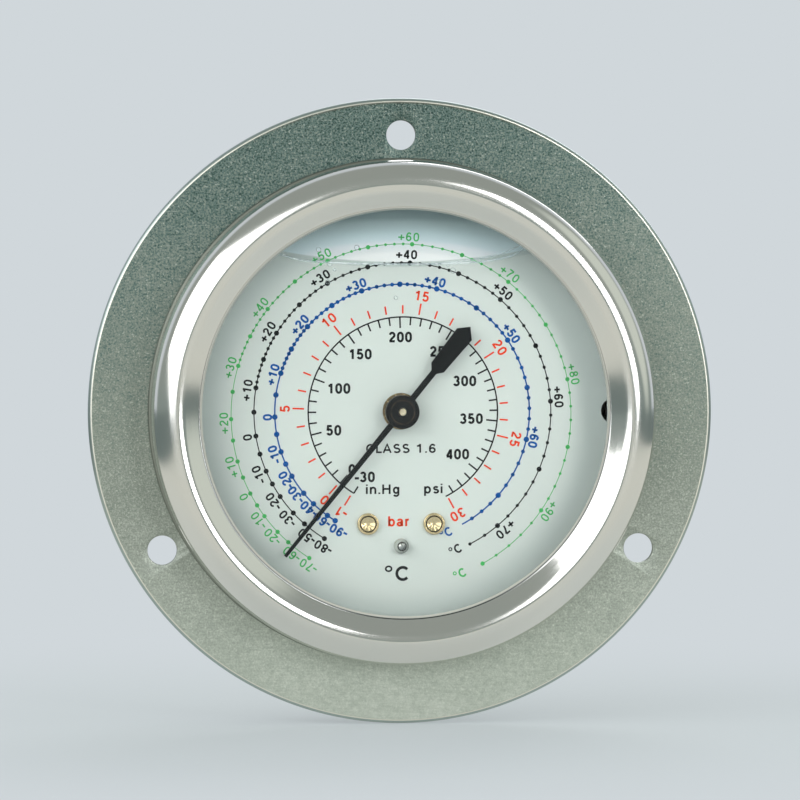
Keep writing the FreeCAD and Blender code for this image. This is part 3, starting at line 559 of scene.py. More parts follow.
def sheetSection(points, sheet):
    # Both sides of a bent sheet's centre line, whose points are (radius, y, rounding)
    spots = [Vector(point[:2]) for point in points]
    ways = [(after - before).normalized() for before, after in zip(spots, spots[1:])]
    sides = {1: [], -1: []}
    for here, (x, y, bend), first, second in zip(spots, points, ways[:1] + ways, ways + ways[-1:]):
        turn = first.x * second.y - first.y * second.x
        normal = Vector((-first.y - second.y, first.x + second.x)).normalized()
        stretch = sheet / 2 / (-first.y * normal.x + first.x * normal.y)
        for side in sides:
            spot = here + normal * side * stretch
            sides[side].append((spot.x, spot.y, bend - math.copysign(sheet / 2, turn * side) if bend else 0))
    return sides[1] + sides[-1][::-1]


half = bezel["sheet"] / 2
wall, foot = high.x - half, high.y - half
ridge = high.x - bezel["ridgeIn"]
lipEnd, lipLevel = ridge - bezel["coneWidth"], edges("window")[0].y - half
ridgeLevel = lipLevel - bezel["coneRise"]
centreLine = [(high.x - bezel["crimp"], foot, 0), (wall, foot, bezel["crimpBend"]),
              (wall, ridgeLevel + bezel["drop"], bezel["shoulder"]),
              *[(ridge - inwards, ridgeLevel + rise, bend) for inwards, rise, bend in bezel["ridge"]],
              (lipEnd, lipLevel, bezel["lipBend"]), (lipEnd - bezel["lip"], lipLevel, 0)]
stand(spun("bezelRing", sheetSection(centreLine, bezel["sheet"]), 14, 256), bezelSteel, "bezel_ring")
# The rolled bead at the bezel's foot, painted dark as the shade line where the bezel meets the flange
start, end, out = high.y - bezel["beadRise"] - 0.1, high.y - 0.05, high.x + bezel["bead"]
stand(spun("footBead", [
    (high.x - 0.2, start), (high.x - 0.02, start, 0.08), (out, start + 0.15, bezel["bead"] * 0.8), (out, end),
    (high.x - 0.2, end)], 8, 256), footShadeSteel)
print("stage: bezel")


# Window pane
low, high = edges("window")
pane = {"chamfer": 0.2}
windowBack, edge, inner = high.y, high.x, high.x - pane["chamfer"]
stand(spun("windowPane", [
    (0, low.y), (inner, low.y), (edge, low.y + pane["chamfer"]), (edge, windowBack - pane["chamfer"]),
    (inner, windowBack), (0, windowBack)], 1, 192), windowGlass, "window")
print("stage: window")


# Dial print: one thin piece for each ink. Clock angles are in degrees, pressures in bar.
dialPrint = {"middle": (0.16, 0.03), "thick": 0.015, "zero": 222.35, "perBar": 9.705, "sway": (1.9, -0.75),
             "psi": 14.5038}
dialFront = edges("dial")[0].y
inkParts = {name: [] for name in inks}
printMiddle = list(dialPrint["middle"])  # the point that the next marks are printed round


def scaleClock(bar):
    even = dialPrint["zero"] + dialPrint["perBar"] * bar
    x, z = onCircle(1, even)
    return even + dialPrint["sway"][0] * z + dialPrint["sway"][1] * x


def seat(radius, clock):
    return dialPlace(*onCircle(radius, clock))


def dialPlace(x, z):
    return Vector((printMiddle[0] + x, dialFront, printMiddle[1] + z)) * mm


def inkArc(ink, radius, width, first, last):
    # A short radial edge, spun round the print's centre
    start = seat(radius - width / 2, first)
    inkParts[ink].append(startPoint(start))
    pull(seat(radius + width / 2, first) - start)
    editAll()
    spin(round((last - first) / 2), first - last, seat(0, 0))


def inkTick(ink, clock, inner, outer, width):
    clearSelection()
    bpy.ops.mesh.primitive_plane_add(size=1, location=seat((inner + outer) / 2, clock),
                                     rotation=(facing[0], math.radians(clock), 0))
    bpy.context.object.scale = (width * mm, (outer - inner) * mm, 1)
    inkParts[ink].append(bpy.context.object)


def inkDot(ink, clock, radius, size):
    clearSelection()
    bpy.ops.mesh.primitive_circle_add(vertices=16 if size > 0.2 else 8, radius=size * mm, fill_type="NGON",
                                      location=seat(radius, clock), rotation=facing)
    inkParts[ink].append(bpy.context.object)


# Pen strokes in hundredths of the height: how far the pen goes on, then the strokes. A pair is a point, and six
# numbers are an arc's middle, half sizes and first and last angle.
glyphs = {
    "0": (77, [[(30, 62, 22, 31, 0, 180), (30, 38, 22, 31, 180, 360), (52, 62)]]),
    "1": (77, [[(37, 0), (37, 100)], [(10, 76), (24, 78), (36, 94)]]),
    "2": (77, [[(29, 69, 21, 24, 172, -28), (22, 30), (9, 8)], [(3, 7), (54, 7)]]),
    "3": (77, [[(28, 72, 19, 21, 160, -90)], [(28, 29, 22, 22, 90, -162)]]),
    "4": (77, [[(40, 94), (8, 30)], [(2, 27), (58, 27)], [(43, 0), (43, 100)]]),
    "5": (77, [[(50, 93), (15, 93), (10, 46)], [(29, 33, 22, 26, 148, -158)]]),
    "6": (77, [[(30, 31, 21, 24, 0, 360)], [(9, 31), (32, 47, 23.5, 46, 180, 42)]]),
    "7": (77, [[(3, 93), (53, 93)], [(51, 90), (34, 56), (25, 28), (21, 0)]]),
    "8": (77, [[(30, 72.5, 18, 20.5, 0, 360)], [(30, 28.5, 22, 21.5, 0, 360)]]),
    "9": (77, [[(30, 69, 21, 24, 0, 360)], [(51, 69), (28, 53, 23.5, 46, 0, -138)]]),
    "+": (84, [[(2, 38), (66, 38)], [(34, 6), (34, 70)]]),
    "-": (56, [[(5, 36), (45, 36)]]),
    ".": (32, [[(9, 0), (9, 16)]]),
    "i": (32, [[(8, 0), (8, 73)], [(8, 86), (8, 100)]]),
    "n": (68, [[(8, 0), (8, 73)], [(27, 45, 18, 22, 180, 0), (45, 0)]]),
    "H": (86, [[(8, 0), (8, 100)], [(60, 0), (60, 100)], [(8, 53), (60, 53)]]),
    "g": (68, [[(26, 38, 18, 29, 0, 360)], [(45, 73), (26, -2, 19, 19, 0, -155)]]),
    "p": (68, [[(8, 73), (8, -28)], [(28, 36, 19, 30, 0, 360)]]),
    "s": (60, [[(25, 53, 15, 14, 25, 270), (25, 22, 17, 16, 90, -155)]]),
    "b": (68, [[(8, 0), (8, 100)], [(28, 36, 19, 30, 0, 360)]]),
    "a": (66, [[(22, 21, 15, 15, 0, 360)], [(25, 49, 17, 18, 165, 0), (42, 0)], [(22, 36), (42, 42)]]),
    "r": (46, [[(8, 0), (8, 73)], [(28, 45, 20, 22, 180, 88)]]),
    "A": (82, [[(0, 0), (31, 98), (62, 0)], [(12, 32), (50, 32)]]),
    "S": (76, [[(30, 72, 21, 21, 30, 270), (30, 28, 24, 22, 90, -150)]]),
    "C": (84, [[(37, 50, 29, 43, 42, 318)]]),
    "L": (62, [[(8, 100), (8, 7), (48, 7)]]),
    "°": (46, [[(15, 83, 14, 17, 0, 360)]]),
    " ": (36, []),
}
letters = {"gap": 0.17, "digit": 0.77, "stretch": 1.12, "weight": 0.2, "arcStep": 20}


def penPoints(stroke):
    points = []
    for item in stroke:
        x, y, *arc = [value / 100 for value in item]
        if not arc:
            points.append(Vector((x, y)))
            continue
        first, last = item[4:]
        steps = max(2, round(abs(last - first) / letters["arcStep"]))
        for step in range(steps + 1):
            angle = math.radians(first + (last - first) * step / steps)
            points.append(Vector((x + arc[0] * math.cos(angle), y + arc[1] * math.sin(angle))))
    return points


def inkWords(ink, words, place, height, clock=0.0, stretch=letters["stretch"], weight=letters["weight"]):
    # Each stroke is a flat ribbon. The place is the words' middle, and their tops point to the clock angle.
    x, z = onCircle(1, clock)
    up, right = Vector((x, 0, z)), Vector((z, 0, -x))
    pen = -(sum(glyphs[letter][0] for letter in words) / 100 - letters["gap"]) / 2
    mesh = bmesh.new()
    for letter in words:
        advance, strokes = glyphs[letter]
        for stroke in strokes:
            points = [Vector(((point.x + pen) * stretch, point.y - 0.5)) for point in penPoints(stroke)]
            loop = (points[0] - points[-1]).length < 1e-4
            behind = [points[-2] if loop else points[0]] + points
            ahead = points[1:] + [points[1] if loop else points[-1]]
            rows = []
            for before, point, after in zip(behind, points, ahead):
                first, second = (point - before).normalized(), (after - point).normalized()
                way = (first + second).normalized()
                side = Vector((-way.y, way.x)) * weight * (0.6 if letter == "°" else 1) / 2
                side = side / max(0.6, way.dot(second if second.length else first))
                rows.append([mesh.verts.new(Vector(place) + (right * spot.x + up * spot.y) * height * mm)
                             for spot in (point - side, point + side)])
            for one, two in zip(rows, rows[1:]):
                mesh.faces.new((one[0], one[1], two[1], two[0]))
        pen += advance / 100
    data = bpy.data.meshes.new("words")
    mesh.to_mesh(data)
    mesh.free()
    inkParts[ink].append(added("words", data))


def inkNumber(ink, value, radius, clock, height, sign=None, weight=letters["weight"]):
    # The digits stand on the mark and the sign stands before them
    digits, gap, middle = str(abs(value)), letters["gap"], seat(radius, clock)
    inkWords(ink, digits, middle, height, clock, weight=weight)
    if sign:
        wide = letters["digit"] * len(digits) - gap
        reach = (wide / 2 + gap * 0.8 + (glyphs[sign][0] / 100 - gap) / 2) * letters["stretch"]
        x, z = onCircle(1, clock)
        inkWords(ink, sign, middle - Vector((z, 0, -x)) * reach * height * mm, height, clock, weight=weight)


# The pressure circle: psi ticks inside in black, bar ticks outside in red
circle = {"middle": (0.27, -0.086), "radius": 12.91, "width": 0.2, "start": 211.2, "end": 513.2, "short": 1.1,
          "long": 1.5, "tick": 0.22, "number": 1.34, "last": 430, "stretch": 1.07, "weight": 0.235}
psiNumbers = {"0": (-6.95, -7.79), "50": (-9.43, -2.47), "100": (-8.75, 3.21), "150": (-5.84, 7.87),
              "200": (-0.35, 10.18), "250": (5.24, 8.22), "300": (8.42, 4.19), "350": (9.33, -0.94),
              "400": (7.45, -5.77), "-30": (-5.26, -8.82)}
printMiddle[:] = circle["middle"]
outer = circle["radius"]
inkArc("black", outer, circle["width"], circle["start"], circle["end"])
for psi in range(0, circle["last"] + 1, 10):
    reach = circle["short"] if psi % 50 else circle["long"]
    inkTick("black", scaleClock(psi / dialPrint["psi"]), outer - reach, outer, circle["tick"])
inkTick("black", circle["start"], outer - circle["short"], outer, circle["tick"])
for words, place in psiNumbers.items():
    inkWords("black", words, dialPlace(*place), circle["number"], 0, circle["stretch"], circle["weight"])

barTicks = {"middle": (0.145, -0.07), "ahead": 0.25, "inner": 13.36, "short": 1.13, "long": 1.57, "width": 0.22,
            "number": 1.3, "reach": 15.95}
printMiddle[:] = barTicks["middle"]
inner = barTicks["inner"]
for bar in range(-1, 31):
    reach = barTicks["short"] if bar % 5 and bar > 0 else barTicks["long"]
    inkTick("red", scaleClock(bar) + barTicks["ahead"], inner, inner + reach, barTicks["width"])
for bar in range(0, 31, 5):
    inkNumber("red", bar, barTicks["reach"], scaleClock(bar), barTicks["number"])
inkNumber("red", -1, barTicks["reach"] + 0.05, scaleClock(-1) + 1, barTicks["number"], "-")

# The temperature rings, each round its own middle: the marked temperatures and the clock angles of their dots
rings = {
    "green": {
        "middle": (0.06, -0.435), "radius": 23.17, "width": 0.1, "dots": (0.3, 0.2), "reach": 1.0, "fine": 30,
        "weight": 0.165, "end": 511.4, "extra": [], "aside": {-60: 218.3, -70: 211.7},
        "marked": [-70, -30, -20, -10, *range(-5, 96, 5)],
        "clocks": [212.8, 221.7, 226.7, 233.6, 238.0, 242.6, 248.5, 254.2, 261.4, 268.6, 277.8, 286.7, 297.4, 308.3,
                   321.3, 334.3, 348.7, 363.6, 380.9, 399.0, 418.3, 438.2, 461.2, 484.5, 511.4],
        "numbers": [-70, -60, *range(-20, 91, 10)]},
    "black": {
        "middle": (0.233, -0.067), "radius": 20.24, "width": 0.15, "dots": (0.35, 0.23), "reach": 1.15, "fine": 10,
        "weight": 0.212, "end": 513.0, "extra": [506.4, 513.0], "aside": {-50: 217.8, -80: 210.6},
        "marked": [-80, -40, -30, *range(-20, 71, 5)],
        "clocks": [211.8, 221.4, 227.4, 235.5, 241.2, 246.7, 253.7, 260.8, 270.0, 279.4, 290.7, 302.0, 316.0, 329.6,
                   346.4, 362.8, 382.1, 401.2, 423.8, 446.1, 472.9, 500.2],
        "numbers": [-80, -50, *range(-30, 71, 10)]},
    "blue": {
        "middle": (0.18, -0.09), "radius": 17.36, "width": 0.2, "dots": (0.38, 0.27), "reach": 1.0, "fine": 10,
        "weight": 0.237, "end": 512.0, "extra": [496.2, 501.4, 506.8],
        "aside": {-90: 208.5, -60: 216.9, -30: 232.4}, "marked": [-90, -60, -40, -30, *range(-20, 66, 5)],
        "clocks": [211.8, 216.0, 224.2, 230.7, 240.0, 246.1, 252.0, 260.1, 267.9, 277.8, 287.8, 299.6, 312.0, 326.5,
                   341.4, 358.9, 375.7, 395.6, 415.9, 439.1, 462.6, 491.0],
        "numbers": [-90, -60, *range(-40, 61, 10)]},
}
ringNumber, ringLean = 1.18, 0.7
for ink, ring in rings.items():
    printMiddle[:] = ring["middle"]
    clocks, radius, (large, small) = ring["clocks"], ring["radius"], ring["dots"]
    inkArc(ink, radius, ring["width"], clocks[0], ring["end"])
    for value, clock, ahead in zip(ring["marked"], clocks, clocks[1:] + [None]):
        inkDot(ink, clock, radius, large)
        if value >= ring["fine"] and ahead:
            for share in (0.2, 0.4, 0.6, 0.8):
                inkDot(ink, clock * (1 - share) + ahead * share, radius, small)
    for clock in ring["extra"]:
        inkDot(ink, clock, radius, small)
    places = dict(zip(ring["marked"], clocks)) | ring["aside"]  # a few numbers stand beside their dots
    for value in ring["numbers"]:
        clock = places[value]
        if value < 0:
            clock += ringLean
        sign = "+" if value > 0 else "-" if value else None
        inkNumber(ink, value, radius + ring["reach"], clock, ringNumber, sign, ring["weight"])

# Plain unit words: ink, words, place, height, clock and stretch
printMiddle[:] = dialPrint["middle"]
unitWords = [
    ("black", "in.Hg", (-2.68, -10.62), 1.3, 0, 1.3), ("black", "psi", (4.24, -10.55), 1.3, 0, 1.36),
    ("red", "bar", (-0.5, -14.98), 1.36, 0, 1.28), ("black", "°C", (-0.66, -22.1), 1.95, 0, 1.46),
    ("black", "CLASS 1.6", (-0.16, -5.08), 1.2, 0, 1.36), ("blue", "°C", (6.0, -16.6), 1.2, -28, 1.2),
    ("black", "°C", (7.3, -18.9), 1.2, -28, 1.2), ("green", "°C", (7.9, -22.2), 1.2, -28, 1.2)]
for ink, words, place, height, clock, stretch in unitWords:
    inkWords(ink, words, dialPlace(*place), height, clock, stretch)

for ink, parts in inkParts.items():
    clearSelection()
    for part in parts:
        part.select_set(True)
    bpy.context.view_layer.objects.active = parts[0]
    bpy.ops.object.join()
    layer = settle()
    layer.name = ink + "Print"
    bm = bmesh.new()
    bm.from_mesh(layer.data)
    bmesh.ops.reverse_faces(bm, faces=[face for face in bm.faces if face.normal.y > 0])
    bm.to_mesh(layer.data)
    bm.free()
    modify(layer, "SOLIDIFY", thickness=dialPrint["thick"] * mm, offset=1)
    stand(layer, inks[ink])
print("stage: dial print")


# Dial rivets
rivet = {"places": [(-4.5, -15.3), (4.5, -15.3)], "head": 1.47, "rise": 0.65, "rim": 0.34, "trench": 0.14,
         "trenchDepth": 0.35, "dish": 0.28, "star": 0.05, "points": 5, "shank": 0.85}
top = dialFront - rivet["rise"]
inside = rivet["head"] - rivet["rim"]
disc = inside - rivet["trench"]
trench = top + rivet["trenchDepth"]
low, high = edges("dial_rivets")
section = [(0, top + rivet["dish"]), (disc * 0.55, top + rivet["dish"] * 0.75), (disc, top + 0.02, 0.04),
           (disc, trench), (inside, trench), (inside, top, 0.06), (rivet["head"], top, 0.12),
           (rivet["head"], dialFront), (rivet["shank"], dialFront), (rivet["shank"], high.y), (0, high.y)]
for number, place in enumerate(rivet["places"], 1):
    head = spun("rivetHead%d" % number, section, 5, 80, angle=40)
    for vertex in head.data.vertices:
        reach = math.hypot(vertex.co.x, vertex.co.z) / mm
        if reach < disc and vertex.co.y / mm < top + rivet["rise"]:
            turn = math.atan2(vertex.co.x, vertex.co.z)
            vertex.co.y += rivet["star"] * math.cos(rivet["points"] * turn) * math.sin(math.pi * reach / disc) * mm
    head.data.transform(Matrix.Translation((place[0] * mm, 0, place[1] * mm)))
    stand(head, rivetBrass, "dial_rivets")
print("stage: rivets")


# Stop pin
pin = {"base": 1.02, "top": 0.58, "foot": 0.8, "shank": 0.7, "head": 1.2, "facets": 9}
low, high = edges("stop_pin")
pinPlace = ((low.x + high.x) / 2, (low.z + high.z) / 2)
dialBack = edges("dial")[1].y
foot = dialFront - pin["foot"]
stopPin = spun("stopPin", [
    (0, low.y), (pin["top"], low.y, 0.08), (pin["base"] - 0.06, foot), (pin["base"], foot + 0.08, 0.03),
    (pin["base"], dialFront), (pin["shank"], dialFront), (pin["shank"], dialBack), (pin["head"], dialBack),
    (pin["head"], high.y), (0, high.y)], 4, pin["facets"] * 4, pinPlace, 14)
part = math.pi / pin["facets"]
for vertex in stopPin.data.vertices:
    across, up = vertex.co.x / mm - pinPlace[0], vertex.co.z / mm - pinPlace[1]
    if vertex.co.y / mm < foot and math.hypot(across, up) > pin["top"] * 0.9:
        flat = math.cos(part) / math.cos(math.atan2(across, up) % (2 * part) - part)
        vertex.co.x = (pinPlace[0] + across * flat) * mm
        vertex.co.z = (pinPlace[1] + up * flat) * mm
stand(stopPin, pinTop, "stop_pin")
print("stage: stop pin")


# Pointer hub
hub = {"radius": 2.29, "round": 0.2, "groove": (1.52, 1.68), "grooveDepth": 0.1, "boss": 1.3, "bore": 0.61}
low, high = edges("pointer_hub")
pointerFront = edges("pointer")[0].y
inner, outer = hub["groove"]
foot = low.y + hub["grooveDepth"]
stand(spun("hubCap", [
    (hub["bore"], low.y), (inner, low.y), (inner, foot), (outer, foot), (outer, low.y),
    (hub["radius"], low.y, hub["round"]), (hub["radius"], pointerFront), (hub["boss"], pointerFront),
    (hub["boss"], high.y), (hub["bore"], high.y)], 8, 128), hubPaint, "pointer_hub", body="pointer_set")
print("stage: hub")


# Liquid surface behind the window, and small bubbles on the glass, both pale with painted light. Places run across
# and down in small steps.
liquid = {"gap": 0.14, "step": 0.1358, "centre": (399.6, 410.1), "tube": 0.05,
          "lines": {"surfaceLine": (0.13, [(274, 251), (287, 256.5), (303, 259.5), (330, 261.3), (368, 262.3),
                                           (405, 262.6), (440, 262.2), (474, 260.8), (500, 257), (514, 252),
                                           (525, 244)]),
                    "secondLine": (0.091, [(432, 262), (460, 259.5), (485, 255.5), (505, 250), (520, 242)])},
          "bubbles": [(326, 262, 0.34), (315, 248, 0.3), (353, 246, 0.32), (449, 269, 0.36), (444, 263.5, 0.2),
                      (435, 280, 0.28), (392, 296, 0.24), (324, 280, 0.26), (331, 268, 0.2)]}


def glassPlace(across, down):
    x, z = (across - liquid["centre"][0]) * liquid["step"], (liquid["centre"][1] - down) * liquid["step"]
    return Vector((x, windowBack + liquid["gap"], z)) * mm


for name, (bead, points) in liquid["lines"].items():
    curve = bpy.data.curves.new(name, "CURVE")
    curve.dimensions = "3D"
    spline = curve.splines.new("NURBS")
    spline.points.add(len(points) - 1)
    for point, (across, down) in zip(spline.points, points):
        point.co = (*glassPlace(across, down), 1)
    spline.order_u = 3
    spline.use_endpoint_u = True
    curve.bevel_depth = bead * mm
    curve.bevel_resolution = 3
    curve.use_fill_caps = True
    pick(added(name, curve))
    bpy.ops.object.convert(target="MESH")
    weld(0.001)
    bpy.ops.object.mode_set(mode="OBJECT")
    stand(bpy.context.object, liquidSheen)
for number, (across, down, size) in enumerate(liquid["bubbles"], 1):
    clearSelection()
    bpy.ops.mesh.primitive_torus_add(
        major_segments=20, minor_segments=6, major_radius=size * mm, minor_radius=liquid["tube"] * mm,
        location=glassPlace(across, down), rotation=facing)
    bubble = settle()
    bubble.name = "bubble%d" % number
    bpy.ops.object.shade_smooth()
    stand(bubble, liquidSheen)
print("stage: liquid")


# Case
case = {"radius": 31.0, "sheet": 0.6, "rimBend": 0.6, "corner": 2.7, "stem": 7.1, "screwCircle": 12.0,
        "screwHole": 1.6, "fillHole": 4.71, "fillLevel": 12.0}
low, high = edges("case")
caseBack, half = high.y, case["sheet"] / 2
wall = case["radius"] - half
centreLine = [(high.x, low.y + half, 0), (wall, low.y + half, case["rimBend"]),
              (wall, caseBack - half, case["corner"]), (case["stem"], caseBack - half, 0)]
caseShell = spun("caseShell", sheetSection(centreLine, case["sheet"]), 12, 256)
screwPlaces = [onCircle(case["screwCircle"], clock) for clock in (0, 180)]
bore(caseShell, screwPlaces, case["screwHole"], caseBack - case["sheet"], caseBack)
carve(caseShell, roundBar((0, case["fillLevel"], case["radius"]), case["fillHole"], 8, turn=(0, 0, 0)), "DIFFERENCE")
pick(caseShell)
smooth(30)
stand(caseShell, caseSteel, "case")
print("stage: case")


# Case screws: round heads with a slot
caseScrew = {"head": 2.6, "crown": 0.35, "round": 0.45, "slot": (8, 1.7, 0.7), "shank": 1.5, "tip": 0.4}
low, high = edges("case_screws")
head, shank = caseScrew["head"], caseScrew["shank"]
section = [(0, low.y), (shank - caseScrew["tip"], low.y), (shank, low.y + caseScrew["tip"]), (shank, caseBack),
           (head, caseBack, 0.1), (head, high.y - caseScrew["crown"], caseScrew["round"]),
           (head * 0.45, high.y), (0, high.y)]
for number, place in enumerate(screwPlaces, 1):
    screw = spun("caseScrew%d" % number, section, 6, 64, place)
    clearSelection()
    bpy.ops.mesh.primitive_cube_add(size=1, location=(place[0] * mm, high.y * mm, place[1] * mm))
    bpy.context.object.scale = Vector(caseScrew["slot"]) * mm
    carve(screw, settle(), "DIFFERENCE")
    smooth(30)
    stand(screw, pinSteel, "case_screws")
print("stage: case screws")


# Filler plug: a rubber head that lies on the case, a neck in its hole and a lip inside
plug = {"head": 6.5, "rim": 0.9, "ring": (4.6, 3.9), "ringDepth": 0.35, "nipple": 1.5, "nippleRise": 0.45,
        "neck": 4.7, "neckLevels": (29.2, 31.6), "lip": 5.6, "lipTop": 31.5, "outside": 31.01, "inside": 30.39,
        "under": 28}
low, high = edges("filler_plug")
crown = high.z - plug["nippleRise"]
trench = crown - plug["ringDepth"]


def turnedUp(name, corners):
    # Turned about a standing line through the filler hole: corners are (radius, height)
    piece = spun(name, corners, 6, 96)
    piece.data.transform(Matrix.Translation((0, case["fillLevel"] * mm, 0)) @ Matrix.Rotation(math.pi / 2, 4, "X"))
    return piece


def caseRound(radius):
    return roundBar((0, case["fillLevel"], 0), radius, 30, 360)


outer, inner = plug["ring"]
fillerPlug = turnedUp("fillerPlug", [
    (0, plug["under"]), (plug["head"], plug["under"]), (plug["head"], crown, plug["rim"]), (outer, crown, 0.1),
    (outer - 0.1, trench, 0.1), (inner + 0.1, trench, 0.1), (inner, crown, 0.1),
    (plug["nipple"] + 0.2, crown, 0.15), (plug["nipple"], high.z, 0.3), (0, high.z)])
carve(fillerPlug, caseRound(plug["outside"]), "DIFFERENCE")
plugLip = turnedUp("plugLip", [(0, low.z), (plug["lip"], low.z, 0.3), (plug["lip"], plug["lipTop"]),
                               (0, plug["lipTop"])])
carve(plugLip, caseRound(plug["inside"]), "INTERSECT")
under, over = plug["neckLevels"]
plugNeck = turnedUp("plugNeck", [(0, under), (plug["neck"], under), (plug["neck"], over), (0, over)])
carve(fillerPlug, plugNeck, "UNION")
carve(fillerPlug, plugLip, "UNION")
smooth(30)
stand(fillerPlug, blackRubber, "filler_plug")
print("stage: filler plug")


# Stem: the socket's own shape up to the relief groove, and beyond it the real thread, nose and port
stem = {"cut": 31.2, "start": 31.8, "end": 41.75, "core": 4.7, "major": 5.555, "pitch": 1.27, "crest": 0.16,
        "root": 0.3, "lead": 0.75, "leadSlope": 1.15, "port": 2.25, "portEdge": 0.2, "noseStart": (4.72, 42.55),
        "noseEnd": (3.3, 44.1), "noseRound": 0.1, "sides": 72}
core, pitch, start, end, cut = [stem[key] for key in ("core", "pitch", "start", "end", "cut")]
noseBack = edges("socket")[1].y
socketBody = nodes["socket"].copy()
socketBody.data = nodes["socket"].data.copy()
bpy.context.scene.collection.objects.link(socketBody)
socketBody.name = "socketBody"
pick(socketBody)
weld(0.0005)
editAll()
bpy.ops.mesh.bisect(plane_co=(0, cut * mm, 0), plane_no=(0, 1, 0), clear_outer=True)
bpy.ops.mesh.select_all(action="DESELECT")
bpy.ops.mesh.select_mode(type="EDGE")
bpy.ops.mesh.select_non_manifold()
bpy.ops.mesh.bridge_edge_loops()
smooth(28)
stand(socketBody, brassMetal, "socket")

# One pitch of the thread in section: root, rising flank, crest, falling flank
flank = (pitch - stem["root"] - stem["crest"]) / 2
rise = stem["major"] - core
stemEnd = startPoint((core * mm, (start - pitch) * mm, 0))
stemEnd.name = "stemEnd"
for out, along in ((0, stem["root"]), (rise, flank), (0, stem["crest"]), (-rise, flank)):
    pull((out * mm, along * mm, 0))
bpy.ops.object.mode_set(mode="OBJECT")
modify(stemEnd, "SCREW", axis="Y", steps=stem["sides"], render_steps=stem["sides"], screw_offset=pitch * mm,
       iterations=math.ceil((end - start) / pitch) + 2, use_merge_vertices=False)
for vertex in stemEnd.data.vertices:
    level = vertex.co.y / mm
    reach = math.hypot(vertex.co.x, vertex.co.z) / mm
    limit = core + max(0.0, min(level - start, end - level, stem["lead"])) * stem["leadSlope"]
    vertex.co.x *= min(reach, limit) / reach
    vertex.co.z *= min(reach, limit) / reach
    vertex.co.y = min(max(level, start), end) * mm
weld(0.001)
bpy.ops.mesh.dissolve_degenerate(threshold=0.001 * mm)


def selectRing(level):
    # The open edge loop that lies at this level
    selectEdges(stemEnd, lambda edge, ends: edge.is_boundary and all(abs(end.y - level) < 0.001 for end in ends))


def pullRing(fromRing, toRing):
    # Pulls the selected loop out to a new radius and level
    pull((0, (toRing[1] - fromRing[1]) * mm, 0))
    scale = toRing[0] / fromRing[0]
    bpy.ops.transform.resize(value=(scale, 1, scale), center_override=(0, toRing[1] * mm, 0))


ends = [(core, end), (core, stem["noseStart"][1] - 0.1), stem["noseStart"], stem["noseEnd"],
        (stem["noseEnd"][0] - stem["noseRound"], noseBack), (stem["port"] + stem["portEdge"], noseBack),
        (stem["port"], noseBack - stem["portEdge"]), (stem["port"], cut)]
selectRing(end)
for one, two in zip(ends, ends[1:]):
    pullRing(one, two)
selectRing(start)
pullRing((core, start), (core, cut))
selectRing(cut)
bpy.ops.mesh.bridge_edge_loops()
weld(0.001)
bpy.ops.mesh.normals_make_consistent(inside=False)
smooth(25)
stand(stemEnd, brassMetal)
print("stage: stem")


# Bourdon tube: flattened, fixed in the socket at one end and free at the other
tube = {"mean": 22.0, "width": 3.0, "height": 8.0, "wall": 0.5, "middle": 11.5, "root": 181.0, "tip": 472.0,
        "steps": 132, "rootPlace": (0, 0.0115, -0.022), "tipPlace": (0.0204, 0.0115, -0.0082)}
clearSelection()
bpy.ops.mesh.primitive_circle_add(vertices=32, radius=tube["width"] / 2 * mm)
bourdonTube = settle()
bourdonTube.name = "bourdonTube"
for vertex in bourdonTube.data.vertices:
    vertex.co.y += math.copysign((tube["height"] - tube["width"]) / 2, vertex.co.y) * mm
editAll()
bpy.ops.transform.translate(value=(tube["mean"] * mm, tube["middle"] * mm, 0))
# The ring starts at three o'clock and is first turned to the root
bpy.ops.transform.rotate(value=math.radians(tube["root"] - 90), orient_axis="Y", center_override=(0, 0, 0))
spin(tube["steps"], tube["root"] - tube["tip"])
editAll()
bpy.ops.mesh.normals_make_consistent(inside=False)
bpy.ops.object.mode_set(mode="OBJECT")
modify(bourdonTube, "SOLIDIFY", thickness=tube["wall"] * mm, offset=-1)
smooth(40)
dress(bourdonTube, tubeBronze)
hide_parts("bourdon_tube")
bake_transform(bourdonTube)
print("stage: tube")


# Floor
backdrop = (0.631, 0.679, 0.708)
floor = {"size": 3.0, "near": 0.0, "far": 160, "least": 0.45, "left": 170, "right": 270, "gap": 0.0001}
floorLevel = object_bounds()[0].z - floor["gap"]
clearSelection()
bpy.ops.mesh.primitive_plane_add(size=floor["size"], location=(0, 0, floorLevel))
ground = settle()
ground.name = "ground"
paper, w = finish("paper", (0.8, 0.86, 0.9), 0.0, 0.9)
x, y, z = w.axes()
away = ((x * x + y * y) ** 0.5).step(floor["near"], floor["far"]) * (1 - floor["least"]) + floor["least"]
# The paper is a strip, and what reflects in the metal beside it is the dark room
strip = (x + floor["left"]).step(-25, 25) * (floor["right"] - x).step(-25, 25)
bounce = strip.tint((0.16, 0.2, 0.19), (0.66, 0.675, 0.61))
seen = w.put("LightPath") + w.put("LightPath", output=6)
cover(paper, away, w, w.put("Emission", {0: seen.tint(bounce, backdrop), 1: 1.0}))
ground.data.materials.append(paper)

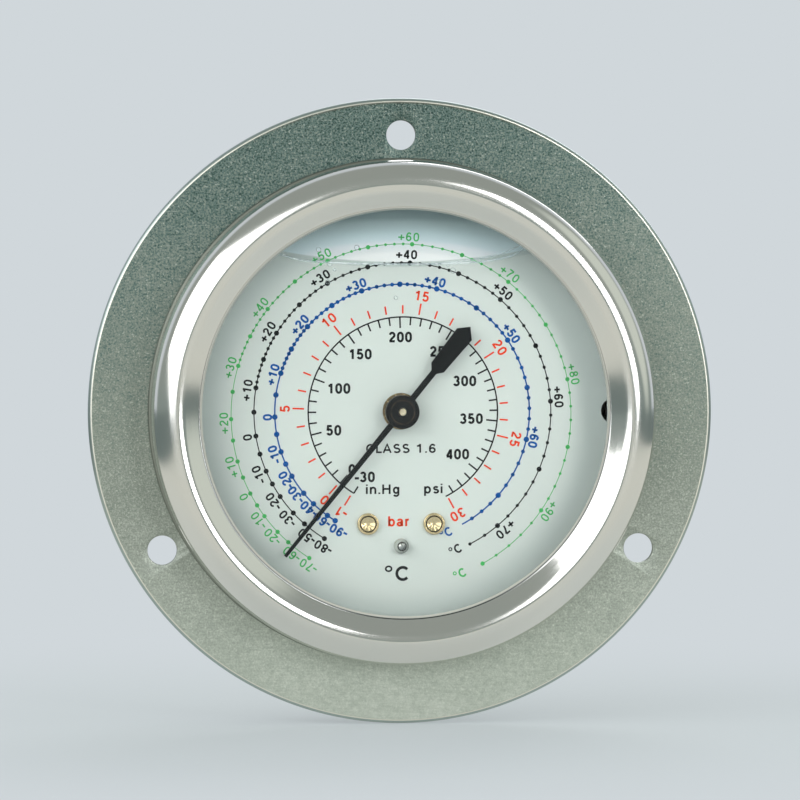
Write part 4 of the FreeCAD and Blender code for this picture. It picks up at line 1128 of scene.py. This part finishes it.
# Lamps: clock angle round the gauge's axis, degrees away from it, distance, size across and outwards, power
lamps = {"keyLamp": (298, 46, 1.0, (0.58, 1.4), 4.9), "sideLamp": (60, 28, 1.0, (0.56, 0.2), 1.8),
         "lowLamp": (184, 32, 0.42, (0.34, 0.2), 0.2), "backLamp": (30, 143, 1.1, (0.8, 0.8), 4.0)}
for name, (clock, away, distance, size, power) in lamps.items():
    (x, z), (out, front) = onCircle(1, clock), onCircle(1, away)
    toward, outward = Vector((out * x, -front, out * z)), Vector((front * x, out, front * z))
    clearSelection()
    bpy.ops.object.light_add(type="AREA", location=toward * distance)
    lamp = bpy.context.object
    lamp.name = name
    lamp.data.shape = "RECTANGLE"
    lamp.data.size, lamp.data.size_y = size
    lamp.data.energy = power
    lamp.rotation_mode = "QUATERNION"
    lamp.rotation_quaternion = Matrix((outward.cross(toward), outward, toward)).transposed().to_quaternion()

world = bpy.data.worlds.new("studio")
bpy.context.scene.world = world
world.use_nodes = True
w = Wire(world.node_tree)
x, y, z = w.axes(w.put("TexCoord"))
room = (z * 0.5 + 0.5).stops((0.0, (0.46, 0.47, 0.44)), (0.42, (0.42, 0.44, 0.41)), (0.5, (0.25, 0.3, 0.28)),
                             (0.62, (0.31, 0.345, 0.315)), (1.0, (0.32, 0.35, 0.32)))
curtain = (x * 0.875 - y * 0.26 + z * 0.41).step(0.87, 0.95)
behind = y.step(0.1, 0.45)
seen = (w.put("LightPath") + (w.put("LightPath", output=3) + w.put("LightPath", output=6)) * behind).step(0.0, 1.0)
tone = seen.tint((curtain * 0.9).tint(room, (0.68, 0.73, 0.65)), backdrop)
world.node_tree.links.new(tone.socket, world.node_tree.nodes["Background"].inputs["Color"])

# Camera
shot = {"distance": 0.8, "side": -4.8, "rise": 2.0, "aim": (-0.00014, -0.001, 0.00154), "lens": 265.0}
(x, y), (rise, level) = onCircle(1, shot["side"]), onCircle(1, shot["rise"])
back = Vector((x * level, -y * level, rise))
camera = added("camera", bpy.data.cameras.new("camera"))
camera.location = Vector(shot["aim"]) + back * shot["distance"]
camera.rotation_mode = "QUATERNION"
camera.rotation_quaternion = (-back).to_track_quat("-Z", "Y")
camera.data.lens = shot["lens"]
camera.data.clip_start = 0.05
bpy.context.scene.camera = camera
bpy.context.scene.view_settings.view_transform = "Standard"

print("stage: done")
